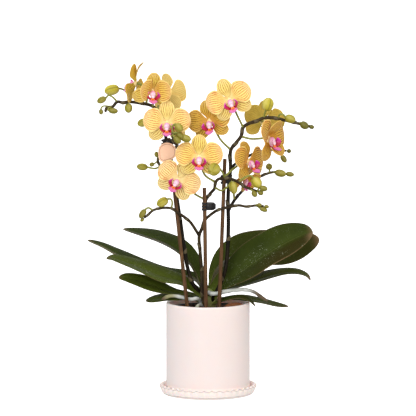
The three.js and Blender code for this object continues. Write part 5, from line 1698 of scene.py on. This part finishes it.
# %% [markdown]
# ## Petals and sepals
#
# The blooms of one plant differ in colour with their age and with the light. Some are deep gold,
# some cream, and one that is seen from behind lets the light through. Each could have its own
# material, but then the veins would be described twelve times. Three short lists and the
# attribute `care` do it with one finish for the petals and one for the sepals.

# %% Petals and sepals
DEEP = {"bloom_left_1": 0.36, "bloom_left_2": 0.35, "bloom_middle_3": 0.7, "bloom_middle_4": 0.85,
        "bloom_right_2": 0.62, "bloom_right_4": 0.8}
CREAM = {"bloom_middle_2": 0.5, "bloom_left_4": 0.25, "bloom_right_1": 0.2, "bloom_middle_1": 0.1}
PALE_BACK = {"bloom_left_3": 0.9, "bloom_right_3": 0.1}
USUAL_DEEP = 0.08
tepal_along = np.sin(np.linspace(0, 1, 34) * math.pi / 2) ** 1.1
tepal_across = np.sin(np.linspace(-1, 1, 23) * math.pi / 2)
for number, (node, bloom) in enumerate(BLOOMS.items()):
    stand = bloom_stand(bloom)
    piece = Piece(node.replace("bloom", "petals"))
    care = [PALE_BACK.get(node, 0.0), DEEP.get(node, USUAL_DEEP), CREAM.get(node, 0.0)]
    for order, (form, usual_turn) in enumerate(TEPALS):
        turn = bloom["turns"][order] if "turns" in bloom else usual_turn
        closed = bloom["closings"][order] if "closings" in bloom else bloom["cup"] * form["closing"]
        twist = bloom["twists"][order] if "twists" in bloom else 0
        sheet = tepal_sheet(form, turn, closed, twist, number * 2.3 + order)
        points, faces, places = blade(sheet, tepal_along, tepal_across, tepal_thickness, flip=True)
        finish = petal_finish if form is PETAL else sepal_finish
        piece.add((stand(points), faces, places), finish, np.tile(care, (len(points), 1)))
    points, faces, places = hub_shape()
    piece.add((stand(points), faces, places), flower_hub)
    piece.stand_for(node)
print("petals and sepals:", made["petals_left_1"], "faces a bloom")

# %% [markdown]
# ## Finishes of column and side lobes
#
# The lip guides an insect in, so it has the strongest colours of the plant. The column above it
# is white with a pink end. The side lobes are red at their foot and magenta above on the inside,
# and pale pink outside. Hand-painted colours would look flat from close by, so each is a blend
# along its part, with fine noise in it.

# %% Finishes of column and side lobes
column_paint = Finish("column_white", Roughness=0.35)
along, _, _ = column_paint.place()
clouds = column_paint.noise(column_paint.room(), 420.0, 3.0)
blush = column_paint.step(column_paint.plus(along, column_paint.times(clouds, 0.4)), 0.55, 1.1, 0.0, 0.8)
colour = column_paint.mix(blush, paint(250, 228, 232), paint(222, 110, 176))
column_white = column_paint.end(colour, None, column_paint.bump(clouds, 0.0001, 0.4))

lobe_paint = Finish("magenta_lobe", Roughness=0.38)
along, _, outside = lobe_paint.place()
speck = lobe_paint.noise(lobe_paint.room(), 700.0, 2.0)
inner = lobe_paint.ramp(lobe_paint.plus(along, lobe_paint.times(speck, 0.2)), paints([
    (0.1, (172, 10, 32)), (0.45, (180, 10, 66)), (0.75, (188, 20, 132)), (1.0, (214, 74, 180))]))
outer = lobe_paint.mix(speck, paint(240, 178, 214), paint(250, 216, 234))
colour = lobe_paint.mix(lobe_paint.step(outside, 0.5, 0.8, 0.0, 0.85), inner, outer)
magenta_lobe = lobe_paint.end(colour, None, lobe_paint.bump(speck, 0.0001, 0.4))
print("finishes:", column_white.name, magenta_lobe.name)

# %% [markdown]
# ## Finishes of callus and tongue
#
# A small orange cushion with red dots, the callus, lies between the side lobes. The tongue runs
# from orange through magenta to pink, with darker streaks along it. An image could hold both.
# Here the dots are a noise that is cut off sharply, and the streaks are lanes across the blade,
# as the veins of the petals are.

# %% Finishes of callus and tongue
callus_paint = Finish("orange_callus", Roughness=0.4)
dots = callus_paint.step(callus_paint.noise(callus_paint.room(), 900.0, 1.0), 0.55, 0.65)
orange_callus = callus_paint.end(callus_paint.mix(dots, paint(252, 150, 20), paint(206, 60, 24)), None,
                                 callus_paint.bump(dots, 0.0001, 0.5))

tongue_paint = Finish("magenta_tongue", Roughness=0.38)
along, across, under = tongue_paint.place()
wander = tongue_paint.noise(tongue_paint.room(), 300.0, 2.0)
lane = tongue_paint.plus(tongue_paint.times(across, 3.5), tongue_paint.times(wander, 0.8))
streak = tongue_paint.step(tongue_paint.math("PINGPONG", lane, 0.5), 0.0, 0.25, 1.0, 0.0)
colour = tongue_paint.ramp(along, paints([
    (0.1, (232, 90, 30)), (0.35, (206, 30, 80)), (0.6, (206, 40, 160)), (1.0, (216, 90, 206))]))
colour = tongue_paint.mix(tongue_paint.times(streak, 0.35), colour, paint(170, 16, 70))
colour = tongue_paint.mix(tongue_paint.step(under, 0.5, 0.8, 0.0, 0.5), colour, paint(240, 170, 212))
magenta_tongue = tongue_paint.end(colour, None, tongue_paint.bump(streak, 0.0001, 0.4))
print("finishes:", orange_callus.name, magenta_tongue.name)

# %% [markdown]
# ## Shapes of the lip
#
# The lip is the bloom's landing stage. A short column bends over it. Two side lobes stand up on
# either side and curve like a pair of brackets, and the middle lobe reaches forward like a
# tongue, broad at its shoulders and pointed at its end. Sculpting would be the natural way. But
# twelve lips have to match their solids, so lobes and tongue are blades with a rule, and the
# rest are stretched balls. Places here are [right, up, towards the viewer] in the flower.

# %% Shapes of the lip
LIP_BACK, LIP_THICKNESS = 1.5, 0.9
LOBE_FOOT, LOBE_RISE, LOBE_WIDTH, LOBE_FLARE = (2.6, -10.8, 4.5), (4.4, 10.6, 2.5), 6.4, 0.45
TONGUE_FROM, TONGUE_REACH, TONGUE_DROP, TONGUE_WIDTH, SHOULDER = (0, -9.8, 4), 13, 5.6, 12.6, 0.6


def ball(centre, radii, sides=16, rows=9):
    shares = np.linspace(0, math.pi, rows + 1)
    points, faces, places = turned(np.column_stack([np.sin(shares), -np.cos(shares)]), sides)
    return points[:, [0, 2, 1]] * np.array([1, 1, -1]) * np.array(radii) + np.array(centre), faces, places


def lip_thickness(along, across):
    return LIP_THICKNESS * np.sqrt(np.maximum(0.0, 1 - across ** 6))


def side_lobe(side):
    def sheet(along, across):
        blunt_end = np.sqrt(np.clip(1 - along ** 7, 0.02, 1))
        half = LOBE_WIDTH / 2 * (0.7 + 0.5 * np.sin(math.pi * along) - 0.25 * along) * blunt_end
        bow = LOBE_RISE[0] * np.sin(0.8 * math.pi * along)
        x = LOBE_FOOT[0] + bow + 0.8 * across ** 2 + LOBE_FLARE * half * side * across
        y = LOBE_FOOT[1] + LOBE_RISE[1] * along - side * across * half * 0.25
        z = LOBE_FOOT[2] + LOBE_RISE[2] * along + LOBE_WIDTH / 2 * 0.9 + side * across * half
        return np.stack([side * x, y, z], -1)

    return blade(sheet, np.linspace(0, 1, 15), np.linspace(-1, 1, 11), lip_thickness, flip=True)


def tongue_shape():
    def sheet(along, across):
        past = (along - SHOULDER) / (1 - SHOULDER)
        swell = soft_step(0.1, 0.65, along) * np.sqrt(np.maximum(0.02, 1 - np.maximum(0, past) ** 2))
        half = TONGUE_WIDTH / 2 * (0.32 + 0.68 * swell) * np.where(past > 0, between(1, 0.45, past), 1)
        rise = 0.8 * across ** 2 + 0.9 * across ** 2 * np.sin(math.pi * along)
        y = TONGUE_FROM[1] - TONGUE_DROP * np.sin(math.pi / 2 * along) + rise
        return np.stack([TONGUE_FROM[0] - across * half, y, TONGUE_FROM[2] + TONGUE_REACH * along], -1)

    lengthwise, crosswise = np.linspace(0, 1, 21), np.linspace(-1, 1, 15)
    points, faces, places = blade(sheet, lengthwise, crosswise, lip_thickness, flip=True)
    places[:, 2] = 1 - places[:, 2]
    return points, faces, places


print("tongue:", len(tongue_shape()[1]), "faces")

# %% [markdown]
# ## The lips
#
# All twelve lips are made of the same eight parts, and each is then turned, scaled and placed
# with its bloom. Copies of one object would do, but each lip stands for a solid of its own.

# %% The lips
lip_parts = [
    (ball([0, -3.9, LIP_BACK + 3.9], [4.0, 4.9, 3.8], 20, 12), column_white),
    (ball([0, -6.4, LIP_BACK + 6.4], [2.7, 2.9, 2.2]), column_white),
    (ball([0, -9.2, LIP_BACK + 3.6], [3.0, 2.7, 3.2]), magenta_lobe),
    (ball([1.25, -10.4, LIP_BACK + 6.3], [1.3, 1.5, 1.7], 12, 8), orange_callus),
    (ball([-1.25, -10.4, LIP_BACK + 6.3], [1.3, 1.5, 1.7], 12, 8), orange_callus),
    (side_lobe(1), magenta_lobe), (side_lobe(-1), magenta_lobe), (tongue_shape(), magenta_tongue),
]
for node, bloom in BLOOMS.items():
    stand = bloom_stand(bloom)
    piece = Piece(node.replace("bloom", "lip"))
    for (points, faces, places), finish in lip_parts:
        piece.add((stand(points), faces, places), finish)
    piece.stand_for(f"{node}_lip")
print("lips:", made["lip_left_1"], "faces each")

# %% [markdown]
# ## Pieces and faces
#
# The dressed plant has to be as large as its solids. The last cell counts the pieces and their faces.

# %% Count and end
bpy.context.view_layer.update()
print("pieces:", len(made), "faces:", sum(made.values()))
